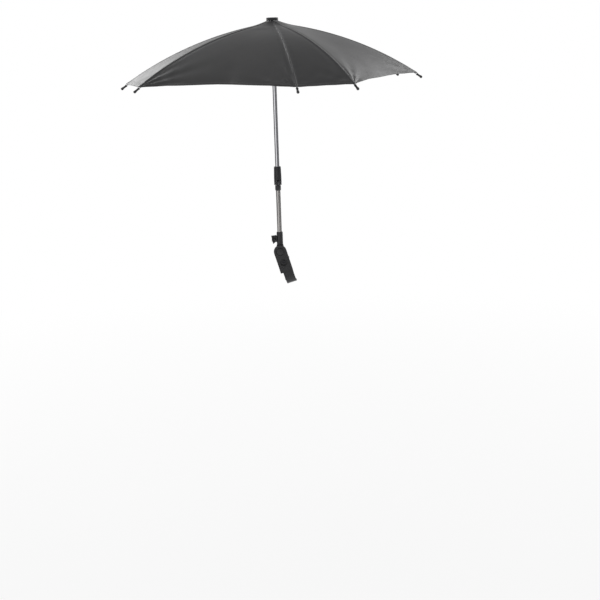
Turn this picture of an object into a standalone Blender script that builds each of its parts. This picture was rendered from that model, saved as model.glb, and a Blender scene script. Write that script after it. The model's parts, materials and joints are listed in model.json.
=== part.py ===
# Stroller parasol: a clamp for the stroller's bar, a tilting rod socket, a two-part shaft with a
# knuckle joint, and a folding canopy on eight ribs that stand in four close pairs.
# Metres, +Z up. The bar's centre in the clamp is the origin, and the front of the clamp faces -Y.

import math

import bmesh
import bpy
from mathutils import Matrix, Vector

# Gap left between pieces that touch, and between pieces that turn or slide on each other
FIT = 0.0003
# How far a cutter runs past what it cuts
THROUGH = 0.0200
# Size of the empties that mark the axes
AXIS_SIZE = 0.0200

# Clamp
BAR_RADIUS = 0.0150
PAD_THICKNESS = 0.0010
JAW_WALL = 0.0032
CLAMP_LEAN = math.radians(16.5)
JAW_HALF_WIDTH = 0.0155
HOOK_LEFT = 0.0085
HOOK_STEP_HEIGHT = 0.0120
STEP_FILLET = 0.0025
HOOK_END = math.radians(290)
PLATE_THICKNESS = 0.0062
PLATE_CURVE_TOP = 0.0260
EAR_RADIUS = 0.0120
EAR_THICKNESS = 0.0045
WEB_THICKNESS = 0.0030
WEB_GAP = 0.0005
LUG_EAR_WIDTH = 0.0042
REAR_JAW_HALF_WIDTH = 0.0120
REAR_JAW_END = math.radians(-45)
REAR_JAW_THICKNESS = 0.0065
PIVOT_ABOVE_SCREW = 0.0085
JAW_PIVOT_BEHIND = 0.0080
JAW_KNUCKLE_RADIUS = 0.0042
JAW_KNUCKLE_HALF_WIDTH = 0.0080
JAW_PIN_RADIUS = 0.0016
JAW_OPENING = math.radians(28)
SCREW_HEIGHT = 0.0360
SCREW_RADIUS = 0.0030
SCREW_HEAD_RADIUS = 0.0044
SCREW_HEAD_DEPTH = 0.0030
SCREW_RECESS_RADIUS = 0.0089
SCREW_RECESS_DEPTH = 0.0040
HEX_KEY_RADIUS = 0.0022
WASHER_RADIUS = 0.0065
WASHER_THICKNESS = 0.0012
SCREW_LEAD = 0.0020
TURNS_LEFT = 4.5
KNOB_RADIUS = 0.0120
KNOB_LOBE = 0.0016
KNOB_LOBES = 6
KNOB_HUB_RADIUS = 0.0070
KNOB_HUB_LENGTH = 0.0040
KNOB_END_WALL = 0.0020
KNOB_EDGE = 0.0008
PAD_MARGIN = 0.0010
JAW_EDGE = 0.0005

# Tilt bolt
BOLT_RADIUS = 0.0030
BOLT_HEAD_RADIUS = 0.0084
BOLT_HEAD_THICKNESS = 0.0026
BOLT_HEAD_DOME = 0.0014
BOLT_RECESS_RADIUS = 0.0100
BOLT_RECESS_DEPTH = 0.0020
NUT_RADIUS = 0.0058
NUT_THICKNESS = 0.0050
NUT_EDGE = 0.0003

# Rod socket, in heights above the tilt bolt
LUG_RADIUS = 0.0115
LUG_HALF_THICKNESS = 0.0072
SOCKET_RADIUS = 0.0075
SOCKET_FLARE_TOP = 0.0180
SOCKET_FLOOR = 0.0200
SOCKET_TOP = 0.0470
SOCKET_LIP = 0.0006
WING_HEIGHT = 0.0285
WING_BOSS_RADIUS = 0.0045
WING_BOSS_LENGTH = 0.0015
WING_SHANK_RADIUS = 0.0020
WING_HUB_RADIUS = 0.0040
WING_HUB_LENGTH = 0.0052
WING_WIDTH = 0.0115
WING_TOP = 0.0103
WING_BOTTOM = 0.0112
WING_SLANT = 0.0041
WING_FOOT_RISE = 0.0064
WING_THICKNESS = 0.0042
WING_CORNER = 0.0016
WING_EDGE = 0.0004

# Shaft, in heights above the tilt bolt
ROD_RADIUS = 0.0055
SHAFT_RADIUS = 0.0050
TUBE_WALL = 0.0008
COLLAR_RADIUS = 0.0070
COLLAR_LENGTH = 0.0125
COLLAR_GAP = 0.0005
COLLAR_LIP = 0.0010
COLLAR_END_WALL = 0.0020
KNUCKLE_HEIGHT = 0.1680
KNUCKLE_LENGTH = 0.0390
KNUCKLE_RADIUS = 0.0090
KNUCKLE_NECK_RADIUS = 0.0083
KNUCKLE_STRAIGHT = 0.0060
KNUCKLE_LIP = 0.0012
SHAFT_SEAT = 0.0020
TONGUE_RADIUS = 0.0060
TONGUE_THICKNESS = 0.0060
KNUCKLE_PIN_RADIUS = 0.0020
KNUCKLE_PIN_HEAD_RADIUS = 0.0032
KNUCKLE_PIN_HEAD = 0.0007
SPOT_FACE_DEPTH = 0.0010

# Canopy, in heights above the tilt bolt
TIP_PLANE = 0.4040
TIP_RADIUS = 0.3600
CROWN_RISE = 0.1360
RIB_BOW = 0.0225
PAIR_MIDDLE = math.radians(20)
PAIR_HALF_ANGLE = math.radians(10.9)
PAIRS = 4

# Crown and runner
HINGE_RADIUS = 0.0105
NOTCH_RING_RADIUS = 0.0125
NOTCH_WIDTH = 0.0018
NOTCH_FLOOR_RADIUS = 0.0082
WIRE_RADIUS = 0.0006
WIRE_GROOVE = 0.0018
CROWN_BELOW = 0.0040
CROWN_ABOVE = 0.0072
CROWN_NOTCH_TOP = 0.0026
RUNNER_RING_HALF = 0.0034
RUNNER_SLEEVE_RADIUS = 0.0074
RUNNER_LENGTH = 0.0400
RUNNER_GRIP_RADIUS = 0.0094
RUNNER_GRIP_LENGTH = 0.0030
RUNNER_GRIP_SLOPE = 0.0025
RUNNER_GRIP_LIP = 0.0010
RUNNER_OPEN_DROP = 0.0850
CATCH_WIDTH = 0.0060
CATCH_THICKNESS = 0.0016
CATCH_PIVOT_DROP = 0.0180
CATCH_HALF_LENGTH = 0.0100
CATCH_SLOT_MARGIN = 0.0005
CATCH_NOSE = 0.0030
CATCH_HOLLOW = 0.0020
CATCH_FOOT = 0.0020
CATCH_PIN_RADIUS = 0.0009
CATCH_PIN_SEAT = 0.0010
CAP_RADIUS = 0.0140
CAP_RIM = 0.0026
CAP_DOME = 0.0016
CAP_EDGE = 0.0008
CAP_FLAT = 0.0030
CAP_SCREW_RADIUS = 0.0020
CAP_SCREW_HEAD_RADIUS = 0.0038
CAP_SCREW_HEAD = 0.0034
CAP_SCREW_LENGTH = 0.0140

# Ribs and stretchers
RIB_WIDTH = 0.0032
RIB_CREST = 0.0022
RIB_DEPTH = 0.0034
RIB_WALL = 0.0006
RIB_TIP_SCALE = 0.68
RIB_TAPER_START = 0.75
RIB_STEPS = 11
RIB_LAP = 0.0015
EYE_RADIUS = 0.0020
EYE_THICKNESS = 0.0012
EYE_LENGTH = 0.0090
RIB_EYE_HALF_HEIGHT = 0.0013
RIVET_AT = 0.1400
RIVET_BELOW = 0.0006
RIVET_RADIUS = 0.0007
RIVET_HEAD_RADIUS = 0.0012
RIVET_HEAD = 0.0005
CLOSED_TIP_RADIUS = 0.0220
STRETCHER_WIDTH = 0.0030
STRETCHER_CREST = 0.0024
STRETCHER_DEPTH = 0.0028
STRETCHER_WALL = 0.0006
STRETCHER_FLAT = 0.0130
STRETCHER_LAP = 0.0025
STRETCHER_TONGUE_RADIUS = 0.0015
HOOK_THROAT = 0.0040
HOOK_NECK = 0.0070
HOOK_SHOULDER = 0.0090
CAP_LENGTH = 0.0160
CAP_NECK_RADIUS = 0.0023
CAP_BORE_RADIUS = 0.0019
CAP_BORE_DEPTH = 0.0110
CAP_BEAD_RADIUS = 0.0032
CAP_NECK_SHARE = 0.55
CAP_BEAD_SHAPE = ((0.90, 0.66), (1.00, 0.78), (0.86, 0.92), (0.50, 1.00))

# Cover
COVER_THICKNESS = 0.0010
COVER_ABOVE_RIB = 0.0009
COVER_TO_CAP = 0.0006
COVER_ROWS = 10
WIDE_COLUMNS = 6
NARROW_COLUMNS = 2
WIDE_SAG = 0.0040
HEM_SCALLOP = 0.0090
HEM_LIFT = 0.45
HEM_POWER = 6
COVER_HOLE_RADIUS = 0.0030
COVER_SPACING = 1.25
FLARE_LENGTH = 0.0220
ROUND_RADIUS = 0.0600
ROUND_START = 0.0120

# Worked out from the above
JAW_BORE = BAR_RADIUS + PAD_THICKNESS + FIT
JAW_OUTER = JAW_BORE + JAW_WALL
CLEVIS_HALF = LUG_HALF_THICKNESS + FIT
PLATE_FRONT = CLEVIS_HALF + PLATE_THICKNESS
EAR_BACK = CLEVIS_HALF + EAR_THICKNESS
JAW_PIVOT_HEIGHT = SCREW_HEIGHT + PIVOT_ABOVE_SCREW
WEB_TOP = JAW_PIVOT_HEIGHT + JAW_KNUCKLE_RADIUS + WEB_GAP + WEB_THICKNESS
TILT_HEIGHT = WEB_TOP + FIT + LUG_RADIUS
JAW_BACK = JAW_PIVOT_BEHIND + REAR_JAW_THICKNESS
WASHER_FACE = JAW_BACK + FIT
KNOB_FACE = WASHER_FACE + WASHER_THICKNESS + FIT
CATCH_PIVOT = (SHAFT_RADIUS + RUNNER_SLEEVE_RADIUS) / 2 + FIT
ROD_BORE = ROD_RADIUS + FIT
SHAFT_BORE = SHAFT_RADIUS + FIT
COLLAR_TOP = KNUCKLE_HEIGHT - TONGUE_RADIUS - COLLAR_GAP
COLLAR_BOTTOM = COLLAR_TOP - COLLAR_LENGTH
KNUCKLE_TOP = KNUCKLE_HEIGHT + KNUCKLE_LENGTH
ROD_TOP = COLLAR_TOP - COLLAR_END_WALL - FIT
FORK_HALF_GAP = TONGUE_THICKNESS / 2 + FIT
FORK_TOP = KNUCKLE_HEIGHT + TONGUE_RADIUS + 2 * FIT
SHAFT_FLOOR = FORK_TOP + SHAFT_SEAT
CROWN_HEIGHT = TIP_PLANE + CROWN_RISE
RUNNER_HEIGHT = CROWN_HEIGHT - RUNNER_OPEN_DROP
SHAFT_TOP = CROWN_HEIGHT + CROWN_NOTCH_TOP
EYE_HOLE = WIRE_RADIUS + FIT
RIVET_BORE = RIVET_RADIUS + FIT / 2

TILT_POINT = Vector((-math.sin(CLAMP_LEAN), 0, math.cos(CLAMP_LEAN))) * TILT_HEIGHT

# A rib is an arc from its hinge: its bow gives half its angle, and its chord gives its first slope
CHORD_ACROSS = TIP_RADIUS - HINGE_RADIUS
CHORD = math.hypot(CHORD_ACROSS, CROWN_RISE)
CHORD_SLOPE = math.atan2(CROWN_RISE, CHORD_ACROSS)
RIB_HALF_ANGLE = 2 * math.atan(2 * RIB_BOW / CHORD)
RIB_ARC_RADIUS = CHORD / (2 * math.sin(RIB_HALF_ANGLE))
RIB_LENGTH = 2 * RIB_HALF_ANGLE * RIB_ARC_RADIUS
RIB_FIRST_SLOPE = CHORD_SLOPE - RIB_HALF_ANGLE
RIB_END = RIB_LENGTH - CAP_LENGTH + CAP_BORE_DEPTH - FIT
COVER_END = RIB_LENGTH - CAP_LENGTH - COVER_TO_CAP
FOLD_ANGLE = math.pi / 2 - CHORD_SLOPE - math.asin((CLOSED_TIP_RADIUS - HINGE_RADIUS) / CHORD)


def rib_slope(along):
    return RIB_FIRST_SLOPE + along / RIB_ARC_RADIUS


def rib_point(along, above=0.0):
    # (outward, up) from the rib's hinge, above being square to the rib
    slope = rib_slope(along)
    out = RIB_ARC_RADIUS * (math.sin(slope) - math.sin(RIB_FIRST_SLOPE))
    down = RIB_ARC_RADIUS * (math.cos(RIB_FIRST_SLOPE) - math.cos(slope))
    return out + above * math.sin(slope), above * math.cos(slope) - down


RIVET_OUT, RIVET_UP = rib_point(RIVET_AT, -RIVET_BELOW)
STRETCHER_LENGTH = math.hypot(RIVET_OUT, RIVET_UP + RUNNER_OPEN_DROP)
STRETCHER_SLOPE = math.atan2(RIVET_UP + RUNNER_OPEN_DROP, RIVET_OUT)


def washer_travel():
    # How far the washer backs off before the open jaw's sloping back clears its lower edge
    sine, cosine = math.sin(JAW_OPENING), math.cos(JAW_OPENING)
    below = JAW_PIVOT_HEIGHT - SCREW_HEIGHT + WASHER_RADIUS
    reach = (below + REAR_JAW_THICKNESS * sine) / cosine
    return REAR_JAW_THICKNESS * (cosine - 1) + reach * sine


WASHER_TRAVEL = washer_travel()
SCREW_REACH = WASHER_TRAVEL + TURNS_LEFT * SCREW_LEAD
KNOB_LENGTH = SCREW_REACH + KNOB_END_WALL


def folded_rivet():
    # The rivet, from the crown's hinge, once the rib has turned down by FOLD_ANGLE
    cosine, sine = math.cos(FOLD_ANGLE), math.sin(FOLD_ANGLE)
    return RIVET_OUT * cosine + RIVET_UP * sine, RIVET_UP * cosine - RIVET_OUT * sine


FOLDED_OUT, FOLDED_UP = folded_rivet()
RUNNER_CLOSED_DROP = math.sqrt(STRETCHER_LENGTH ** 2 - FOLDED_OUT ** 2) - FOLDED_UP
RUNNER_TRAVEL = RUNNER_CLOSED_DROP - RUNNER_OPEN_DROP
FOLDED_STRETCHER_SLOPE = math.atan2(FOLDED_UP + RUNNER_CLOSED_DROP, FOLDED_OUT)
STRETCHER_TURN = FOLDED_STRETCHER_SLOPE - STRETCHER_SLOPE + FOLD_ANGLE

AZIMUTHS = [
    PAIR_MIDDLE + pair * math.tau / PAIRS + side * PAIR_HALF_ANGLE
    for pair in range(PAIRS)
    for side in (-1, 1)
]


def clear_scene():
    for item in list(bpy.data.objects):
        bpy.data.objects.remove(item, do_unlink=True)


def paint(name, colour, roughness, metallic=0.0):
    material = bpy.data.materials.new(name)
    material.use_nodes = True
    shader = material.node_tree.nodes["Principled BSDF"]
    shader.inputs["Base Color"].default_value = (*colour, 1)
    shader.inputs["Roughness"].default_value = roughness
    shader.inputs["Metallic"].default_value = metallic
    material.diffuse_color = (*colour, 1)
    return material


def workpiece(bm):
    bmesh.ops.recalc_face_normals(bm, faces=bm.faces)
    mesh = bpy.data.meshes.new("workpiece")
    bm.to_mesh(mesh)
    bm.free()
    item = bpy.data.objects.new("workpiece", mesh)
    bpy.context.collection.objects.link(item)
    return item


def arc(centre, radius, start, end, steps):
    return [
        (
            centre[0] + radius * math.cos(start + (end - start) * step / steps),
            centre[1] + radius * math.sin(start + (end - start) * step / steps),
        )
        for step in range(steps + 1)
    ]


def circle(centre, radius, sides):
    return arc(centre, radius, 0, math.tau * (sides - 1) / sides, sides - 1)


def prism(outline, low, high, along="Y"):
    # An outline in the plane square to an axis, pulled along it: XZ for Y, YZ for X and XY for Z
    bm = bmesh.new()
    if along == "Y":
        points = [(a, low, b) for a, b in outline]
        pull = (0, high - low, 0)
    elif along == "X":
        points = [(low, a, b) for a, b in outline]
        pull = (high - low, 0, 0)
    else:
        points = [(a, b, low) for a, b in outline]
        pull = (0, 0, high - low)
    face = bm.faces.new([bm.verts.new(point) for point in points])
    pulled = bmesh.ops.extrude_face_region(bm, geom=[face])
    moved = [item for item in pulled["geom"] if isinstance(item, bmesh.types.BMVert)]
    bmesh.ops.translate(bm, verts=moved, vec=pull)
    return workpiece(bm)


def box(low, high):
    outline = [(low[0], low[2]), (high[0], low[2]), (high[0], high[2]), (low[0], high[2])]
    return prism(outline, low[1], high[1])


TURN_TO = {
    "Z": Matrix.Identity(4),
    "Y": Matrix.Rotation(math.radians(-90), 4, "X"),
    "X": Matrix.Rotation(math.radians(90), 4, "Y"),
}


def lathe(profile, sides, along="Z", centre=(0, 0, 0), closed=False):
    # A profile of (radius, height) points spun round an axis; closed for a profile off the axis
    bm = bmesh.new()
    points = [bm.verts.new((radius, 0, height)) for radius, height in profile]
    links = list(zip(points, points[1:]))
    if closed:
        links.append((points[-1], points[0]))
    edges = [bm.edges.new(link) for link in links if link[0].co.x or link[1].co.x]
    bmesh.ops.spin(
        bm, geom=points + edges, cent=(0, 0, 0), axis=(0, 0, 1), angle=math.tau, steps=sides
    )
    bmesh.ops.remove_doubles(bm, verts=bm.verts, dist=1e-7)
    bmesh.ops.transform(bm, matrix=Matrix.Translation(centre) @ TURN_TO[along], verts=bm.verts)
    return workpiece(bm)


def rod(radius, low, high, sides, along="Z", centre=(0, 0, 0)):
    return lathe([(0, low), (radius, low), (radius, high), (0, high)], sides, along, centre)


def ring(inner, outer, low, high, sides, along="Z", centre=(0, 0, 0)):
    profile = [(inner, low), (outer, low), (outer, high), (inner, high)]
    return lathe(profile, sides, along, centre, closed=True)


def loft(sections):
    bm = bmesh.new()
    loops = [[bm.verts.new(point) for point in section] for section in sections]
    count = len(loops[0])
    for first, second in zip(loops, loops[1:]):
        for k in range(count):
            bm.faces.new((first[k], first[(k + 1) % count], second[(k + 1) % count], second[k]))
    bm.faces.new(loops[0])
    bm.faces.new(loops[-1])
    return workpiece(bm)


def settle(item):
    # The mesh as its modifiers leave it
    evaluated = item.evaluated_get(bpy.context.evaluated_depsgraph_get())
    made = bpy.data.meshes.new_from_object(evaluated)
    item.modifiers.clear()
    item.data = made
    return item


def ease(item, width):
    edge = item.modifiers.new("edge", "BEVEL")
    edge.width = width
    edge.segments = 1
    edge.limit_method = "ANGLE"
    edge.angle_limit = math.radians(50)
    return item


def combine(base, operation, tools):
    for tool in tools:
        step = base.modifiers.new("step", "BOOLEAN")
        step.operation = operation
        step.object = tool
        settle(base)
        bpy.data.objects.remove(tool, do_unlink=True)
    return base


def join(base, *tools):
    return combine(base, "UNION", tools)


def cut(base, *tools):
    return combine(base, "DIFFERENCE", tools)


def overlap(base, *tools):
    return combine(base, "INTERSECT", tools)


def finish(item, name, material, parent=None, location=(0, 0, 0), turn=(0, 0, 0), bevel=0.0):
    item.name = name
    item.data.name = name
    item.data.materials.clear()
    item.data.materials.append(material)
    if bevel:
        ease(item, bevel)
    else:
        item.data.polygons.foreach_set("use_smooth", [True] * len(item.data.polygons))
        item.data.set_sharp_from_angle(angle=math.radians(38))
    item.parent = parent
    item.location = location
    item.rotation_euler = turn
    return item


def copy_of(item, name, parent, location, turn):
    twin = bpy.data.objects.new(name, item.data)
    bpy.context.collection.objects.link(twin)
    twin.parent = parent
    twin.location = location
    twin.rotation_euler = turn
    return twin


def axis(name, location, turn=(0, 0, 0), parent=None):
    empty = bpy.data.objects.new(name, None)
    empty.location = location
    empty.rotation_euler = turn
    empty.parent = parent
    empty.empty_display_size = AXIS_SIZE
    bpy.context.collection.objects.link(empty)
    return empty


def bend(start, end, steps):
    # An S-bend between two points whose ends run straight up and down
    return [
        (
            start[0] + (end[0] - start[0]) * (1 - math.cos(math.pi * step / steps)) / 2,
            start[1] + (end[1] - start[1]) * step / steps,
        )
        for step in range(steps + 1)
    ]


def front_jaw_body():
    throat = math.acos(-CLEVIS_HALF / JAW_BORE)
    top = TILT_HEIGHT + JAW_HALF_WIDTH
    side = [(-CLEVIS_HALF, top)]
    side += arc((0, 0), JAW_BORE, throat, HOOK_END, 14)
    side += arc((0, 0), JAW_OUTER, HOOK_END, math.pi, 9)
    side += bend((-JAW_OUTER, 0), (-PLATE_FRONT, PLATE_CURVE_TOP), 5)[1:]
    side += [(-PLATE_FRONT, top)]
    body = prism(side, -JAW_HALF_WIDTH, JAW_HALF_WIDTH, "X")

    front = arc((0, TILT_HEIGHT), JAW_HALF_WIDTH, 0, math.pi, 16)
    front += [(-JAW_HALF_WIDTH, HOOK_STEP_HEIGHT)]
    corner = (-HOOK_LEFT - STEP_FILLET, HOOK_STEP_HEIGHT - STEP_FILLET)
    front += arc(corner, STEP_FILLET, math.radians(90), 0, 4)
    front += [(-HOOK_LEFT, -JAW_OUTER), (JAW_HALF_WIDTH, -JAW_OUTER)]
    return overlap(body, prism(front, -JAW_OUTER, JAW_OUTER))


def front_jaw(parent, material):
    web_low = WEB_TOP - WEB_THICKNESS
    pivot = (JAW_PIVOT_BEHIND, JAW_PIVOT_HEIGHT)
    inside = -CLEVIS_HALF - PLATE_THICKNESS / 2
    web = box(
        (-REAR_JAW_HALF_WIDTH, inside, web_low), (REAR_JAW_HALF_WIDTH, EAR_BACK, WEB_TOP)
    )
    ear = arc((0, TILT_HEIGHT), EAR_RADIUS, 0, math.pi, 12)
    ear += [(-EAR_RADIUS, web_low), (EAR_RADIUS, web_low)]
    back_ear = prism(ear, CLEVIS_HALF, EAR_BACK)
    knuckle = arc(pivot, JAW_KNUCKLE_RADIUS, math.radians(-90), 0, 5)
    knuckle += [(JAW_PIVOT_BEHIND + JAW_KNUCKLE_RADIUS, WEB_TOP - WEB_THICKNESS / 2)]
    knuckle += [(inside, WEB_TOP - WEB_THICKNESS / 2)]
    knuckle += [(inside, JAW_PIVOT_HEIGHT - JAW_KNUCKLE_RADIUS)]
    near = JAW_KNUCKLE_HALF_WIDTH + FIT
    lugs = [prism(knuckle, near, near + LUG_EAR_WIDTH, "X")]
    lugs += [prism(knuckle, -near - LUG_EAR_WIDTH, -near, "X")]
    body = join(front_jaw_body(), web, back_ear, *lugs)

    tilt_centre = (0, 0, TILT_HEIGHT)
    screw_centre = (0, 0, SCREW_HEIGHT)
    outside = -PLATE_FRONT - THROUGH
    bolt_recess = BOLT_RECESS_DEPTH - PLATE_FRONT
    screw_recess = SCREW_RECESS_DEPTH - PLATE_FRONT
    body = cut(
        body,
        rod(BOLT_RADIUS + FIT, outside, EAR_BACK + THROUGH, 16, "Y", tilt_centre),
        rod(BOLT_RECESS_RADIUS, outside, bolt_recess, 28, "Y", tilt_centre),
        rod(SCREW_RADIUS + FIT, outside, 0.0, 16, "Y", screw_centre),
        rod(SCREW_RECESS_RADIUS, outside, screw_recess, 28, "Y", screw_centre),
        rod(JAW_PIN_RADIUS + FIT, -THROUGH, THROUGH, 10, "X", (0, *pivot)),
    )
    return finish(body, "front_jaw", material, parent, bevel=JAW_EDGE)


def rear_jaw(parent, material):
    pivot = (JAW_PIVOT_BEHIND, JAW_PIVOT_HEIGHT)
    shoulder = JAW_PIVOT_HEIGHT - JAW_KNUCKLE_RADIUS - 2 * FIT
    throat = math.acos(JAW_PIVOT_BEHIND / JAW_BORE)
    side = bend((JAW_BACK, PLATE_CURVE_TOP), (JAW_OUTER, 0), 6)
    side += arc((0, 0), JAW_OUTER, 0, REAR_JAW_END, 6)[1:]
    side += arc((0, 0), JAW_BORE, REAR_JAW_END, throat, 12)
    side += [(JAW_PIVOT_BEHIND, shoulder), (JAW_BACK, shoulder)]
    body = prism(side, -REAR_JAW_HALF_WIDTH, REAR_JAW_HALF_WIDTH, "X")
    neck = arc(pivot, JAW_KNUCKLE_RADIUS, 0, math.radians(180), 10)
    neck += [(JAW_PIVOT_BEHIND, shoulder - JAW_KNUCKLE_RADIUS)]
    neck += [(JAW_PIVOT_BEHIND + JAW_KNUCKLE_RADIUS, shoulder - JAW_KNUCKLE_RADIUS)]
    knuckle = prism(neck, -JAW_KNUCKLE_HALF_WIDTH, JAW_KNUCKLE_HALF_WIDTH, "X")
    body = join(body, knuckle)

    # The slot lets the jaw swing past the screw
    swing = math.cos(JAW_OPENING)
    drop = JAW_PIVOT_HEIGHT - SCREW_HEIGHT + SCREW_RADIUS + FIT
    slot_reach = (drop + REAR_JAW_THICKNESS * math.sin(JAW_OPENING)) / swing
    half_slot = SCREW_RADIUS + 2 * FIT
    slot = box(
        (-half_slot, 0, JAW_PIVOT_HEIGHT - slot_reach - 2 * FIT),
        (half_slot, JAW_BACK * 2, SCREW_HEIGHT + SCREW_RADIUS + 2 * FIT),
    )
    pin_bore = rod(JAW_PIN_RADIUS + FIT, -THROUGH, THROUGH, 10, "X", (0, *pivot))
    body = cut(body, slot, pin_bore)
    return finish(body, "rear_jaw", material, parent, bevel=JAW_EDGE)


def pad(name, start, end, low, high, parent, material):
    outline = arc((0, 0), BAR_RADIUS + PAD_THICKNESS, start, end, 16)
    outline += arc((0, 0), BAR_RADIUS, end, start, 16)
    return finish(prism(outline, low, high, "X"), name, material, parent)


def clamp(parent, plastic, rubber, steel, dark):
    front_jaw(parent, plastic)
    rear_jaw(parent, plastic)
    back_step = PAD_MARGIN / BAR_RADIUS
    throat = math.acos(-CLEVIS_HALF / JAW_BORE) + back_step
    left, right = PAD_MARGIN - HOOK_LEFT, JAW_HALF_WIDTH - PAD_MARGIN
    pad("front_pad", throat, HOOK_END - back_step, left, right, parent, rubber)
    reach = REAR_JAW_HALF_WIDTH - PAD_MARGIN
    rear_throat = math.acos(JAW_PIVOT_BEHIND / JAW_BORE) - back_step
    pad("rear_pad", REAR_JAW_END + back_step, rear_throat, -reach, reach, parent, rubber)

    half = JAW_KNUCKLE_HALF_WIDTH + FIT + LUG_EAR_WIDTH
    pin = rod(JAW_PIN_RADIUS, -half, half, 10, "X")
    finish(pin, "jaw_pivot_pin", steel, parent, (0, JAW_PIVOT_BEHIND, JAW_PIVOT_HEIGHT))

    head_back = -PLATE_FRONT + SCREW_RECESS_DEPTH - FIT
    screw_end = KNOB_FACE + SCREW_REACH - 4 * FIT
    head_front = head_back - SCREW_HEAD_DEPTH
    profile = [(0, head_front), (SCREW_HEAD_RADIUS, head_front)]
    profile += [(SCREW_HEAD_RADIUS, head_back), (SCREW_RADIUS, head_back)]
    chamfer = SCREW_RADIUS / 4
    profile += [(SCREW_RADIUS, screw_end - chamfer), (SCREW_RADIUS - chamfer, screw_end)]
    profile += [(0, screw_end)]
    key_floor = head_front + SCREW_HEAD_DEPTH * 2 / 3
    screw = cut(lathe(profile, 20, "Y"), rod(HEX_KEY_RADIUS, head_front - THROUGH, key_floor, 6, "Y"))
    finish(screw, "clamp_screw", steel, parent, (0, 0, SCREW_HEIGHT))

    washer = ring(SCREW_RADIUS + FIT, WASHER_RADIUS, 0, WASHER_THICKNESS, 24, "Y")
    finish(washer, "clamp_washer", steel, parent, (0, WASHER_FACE, SCREW_HEIGHT))

    lobes = [
        (
            (KNOB_RADIUS + KNOB_LOBE * math.cos(KNOB_LOBES * turn)) * math.cos(turn),
            (KNOB_RADIUS + KNOB_LOBE * math.cos(KNOB_LOBES * turn)) * math.sin(turn),
        )
        for turn in (step * math.tau / (6 * KNOB_LOBES) for step in range(6 * KNOB_LOBES))
    ]
    grip = settle(ease(prism(lobes, KNOB_HUB_LENGTH, KNOB_LENGTH), KNOB_EDGE))
    knob = join(grip, rod(KNOB_HUB_RADIUS, 0, 2 * KNOB_HUB_LENGTH, 24, "Y"))
    knob = cut(knob, rod(SCREW_RADIUS + FIT, -THROUGH, SCREW_REACH, 16, "Y"))
    finish(knob, "clamp_knob", dark, parent, (0, KNOB_FACE, SCREW_HEIGHT))


def tilt_bolt(parent, plastic, steel):
    floor = -PLATE_FRONT + BOLT_RECESS_DEPTH - FIT
    face = floor - BOLT_HEAD_THICKNESS
    nut_face = EAR_BACK + FIT
    end = nut_face + NUT_THICKNESS + FIT
    profile = [
        (BOLT_HEAD_RADIUS * math.sin(turn), face + BOLT_HEAD_DOME * (1 - math.cos(turn)))
        for turn in (step * math.pi / 6 for step in range(4))
    ]
    profile += [(BOLT_HEAD_RADIUS, floor), (BOLT_RADIUS, floor), (BOLT_RADIUS, end), (0, end)]
    place = (0, 0, TILT_HEIGHT)
    finish(lathe(profile, 28, "Y"), "tilt_bolt", plastic, parent, place)
    nut = rod(NUT_RADIUS, nut_face, nut_face + NUT_THICKNESS, 6, "Y")
    nut = cut(nut, rod(BOLT_RADIUS + FIT, 0, 2 * end, 16, "Y"))
    finish(nut, "tilt_nut", steel, parent, place, bevel=NUT_EDGE)


def rod_socket(parent, material):
    # Seen from the front, the lug's disc runs into the tube along two straight flanks
    outline = arc((0, 0), LUG_RADIUS, math.radians(155), math.radians(385), 16)
    flank = SOCKET_RADIUS - 2 * FIT
    outline += [(flank, SOCKET_FLARE_TOP), (-flank, SOCKET_FLARE_TOP)]
    lug = prism(outline, -LUG_HALF_THICKNESS, LUG_HALF_THICKNESS)
    tube = [(0, LUG_RADIUS / 2), (SOCKET_RADIUS, LUG_RADIUS / 2)]
    tube += [(SOCKET_RADIUS, SOCKET_TOP - SOCKET_LIP), (SOCKET_RADIUS - SOCKET_LIP, SOCKET_TOP)]
    tube += [(ROD_BORE, SOCKET_TOP), (ROD_BORE, SOCKET_FLOOR), (0, SOCKET_FLOOR)]
    boss_end = SOCKET_RADIUS + WING_BOSS_LENGTH
    wall_middle = (ROD_BORE + SOCKET_RADIUS) / 2
    boss = rod(WING_BOSS_RADIUS, -boss_end, -wall_middle, 16, "X", (0, 0, WING_HEIGHT))
    body = join(lug, lathe(tube, 28, closed=True), boss)
    body = cut(
        body,
        rod(BOLT_RADIUS + FIT, -THROUGH, THROUGH, 16, "Y"),
        rod(WING_SHANK_RADIUS + FIT, -THROUGH, 0, 12, "X", (0, 0, WING_HEIGHT)),
    )
    return finish(body, "rod_socket", material, parent)


def wing_screw(parent, material):
    # The origin is on the screw's axis, on the shaft's centre line
    hub_start = -SOCKET_RADIUS - WING_BOSS_LENGTH - FIT
    hub_end = hub_start - WING_HUB_LENGTH
    near, far = hub_start - WING_CORNER, hub_start - WING_WIDTH
    quarter = math.pi / 2
    outline = arc((near, WING_TOP - WING_CORNER / 2), WING_CORNER, 0, quarter, 3)
    outline += arc((far + WING_CORNER, WING_TOP - 2 * WING_CORNER), WING_CORNER, quarter, math.pi, 3)
    outline += arc((far + WING_SLANT, WING_CORNER - WING_BOTTOM), WING_CORNER, math.pi, 3 * quarter, 3)
    outline += arc((near, WING_FOOT_RISE - WING_BOTTOM), WING_CORNER, -quarter, 0, 3)
    wing = prism(outline, -WING_THICKNESS / 2, WING_THICKNESS / 2)
    hub = rod(WING_HUB_RADIUS, hub_end, hub_start, 16, "X")
    shank = rod(WING_SHANK_RADIUS, (hub_end + hub_start) / 2, -ROD_RADIUS - FIT, 12, "X")
    body = join(wing, hub, shank)
    return finish(body, "wing_screw", material, parent, (0, 0, WING_HEIGHT), bevel=WING_EDGE)


def tube(name, radius, low, high, parent, material):
    return finish(ring(radius - TUBE_WALL, radius, low, high, 32), name, material, parent)


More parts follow.
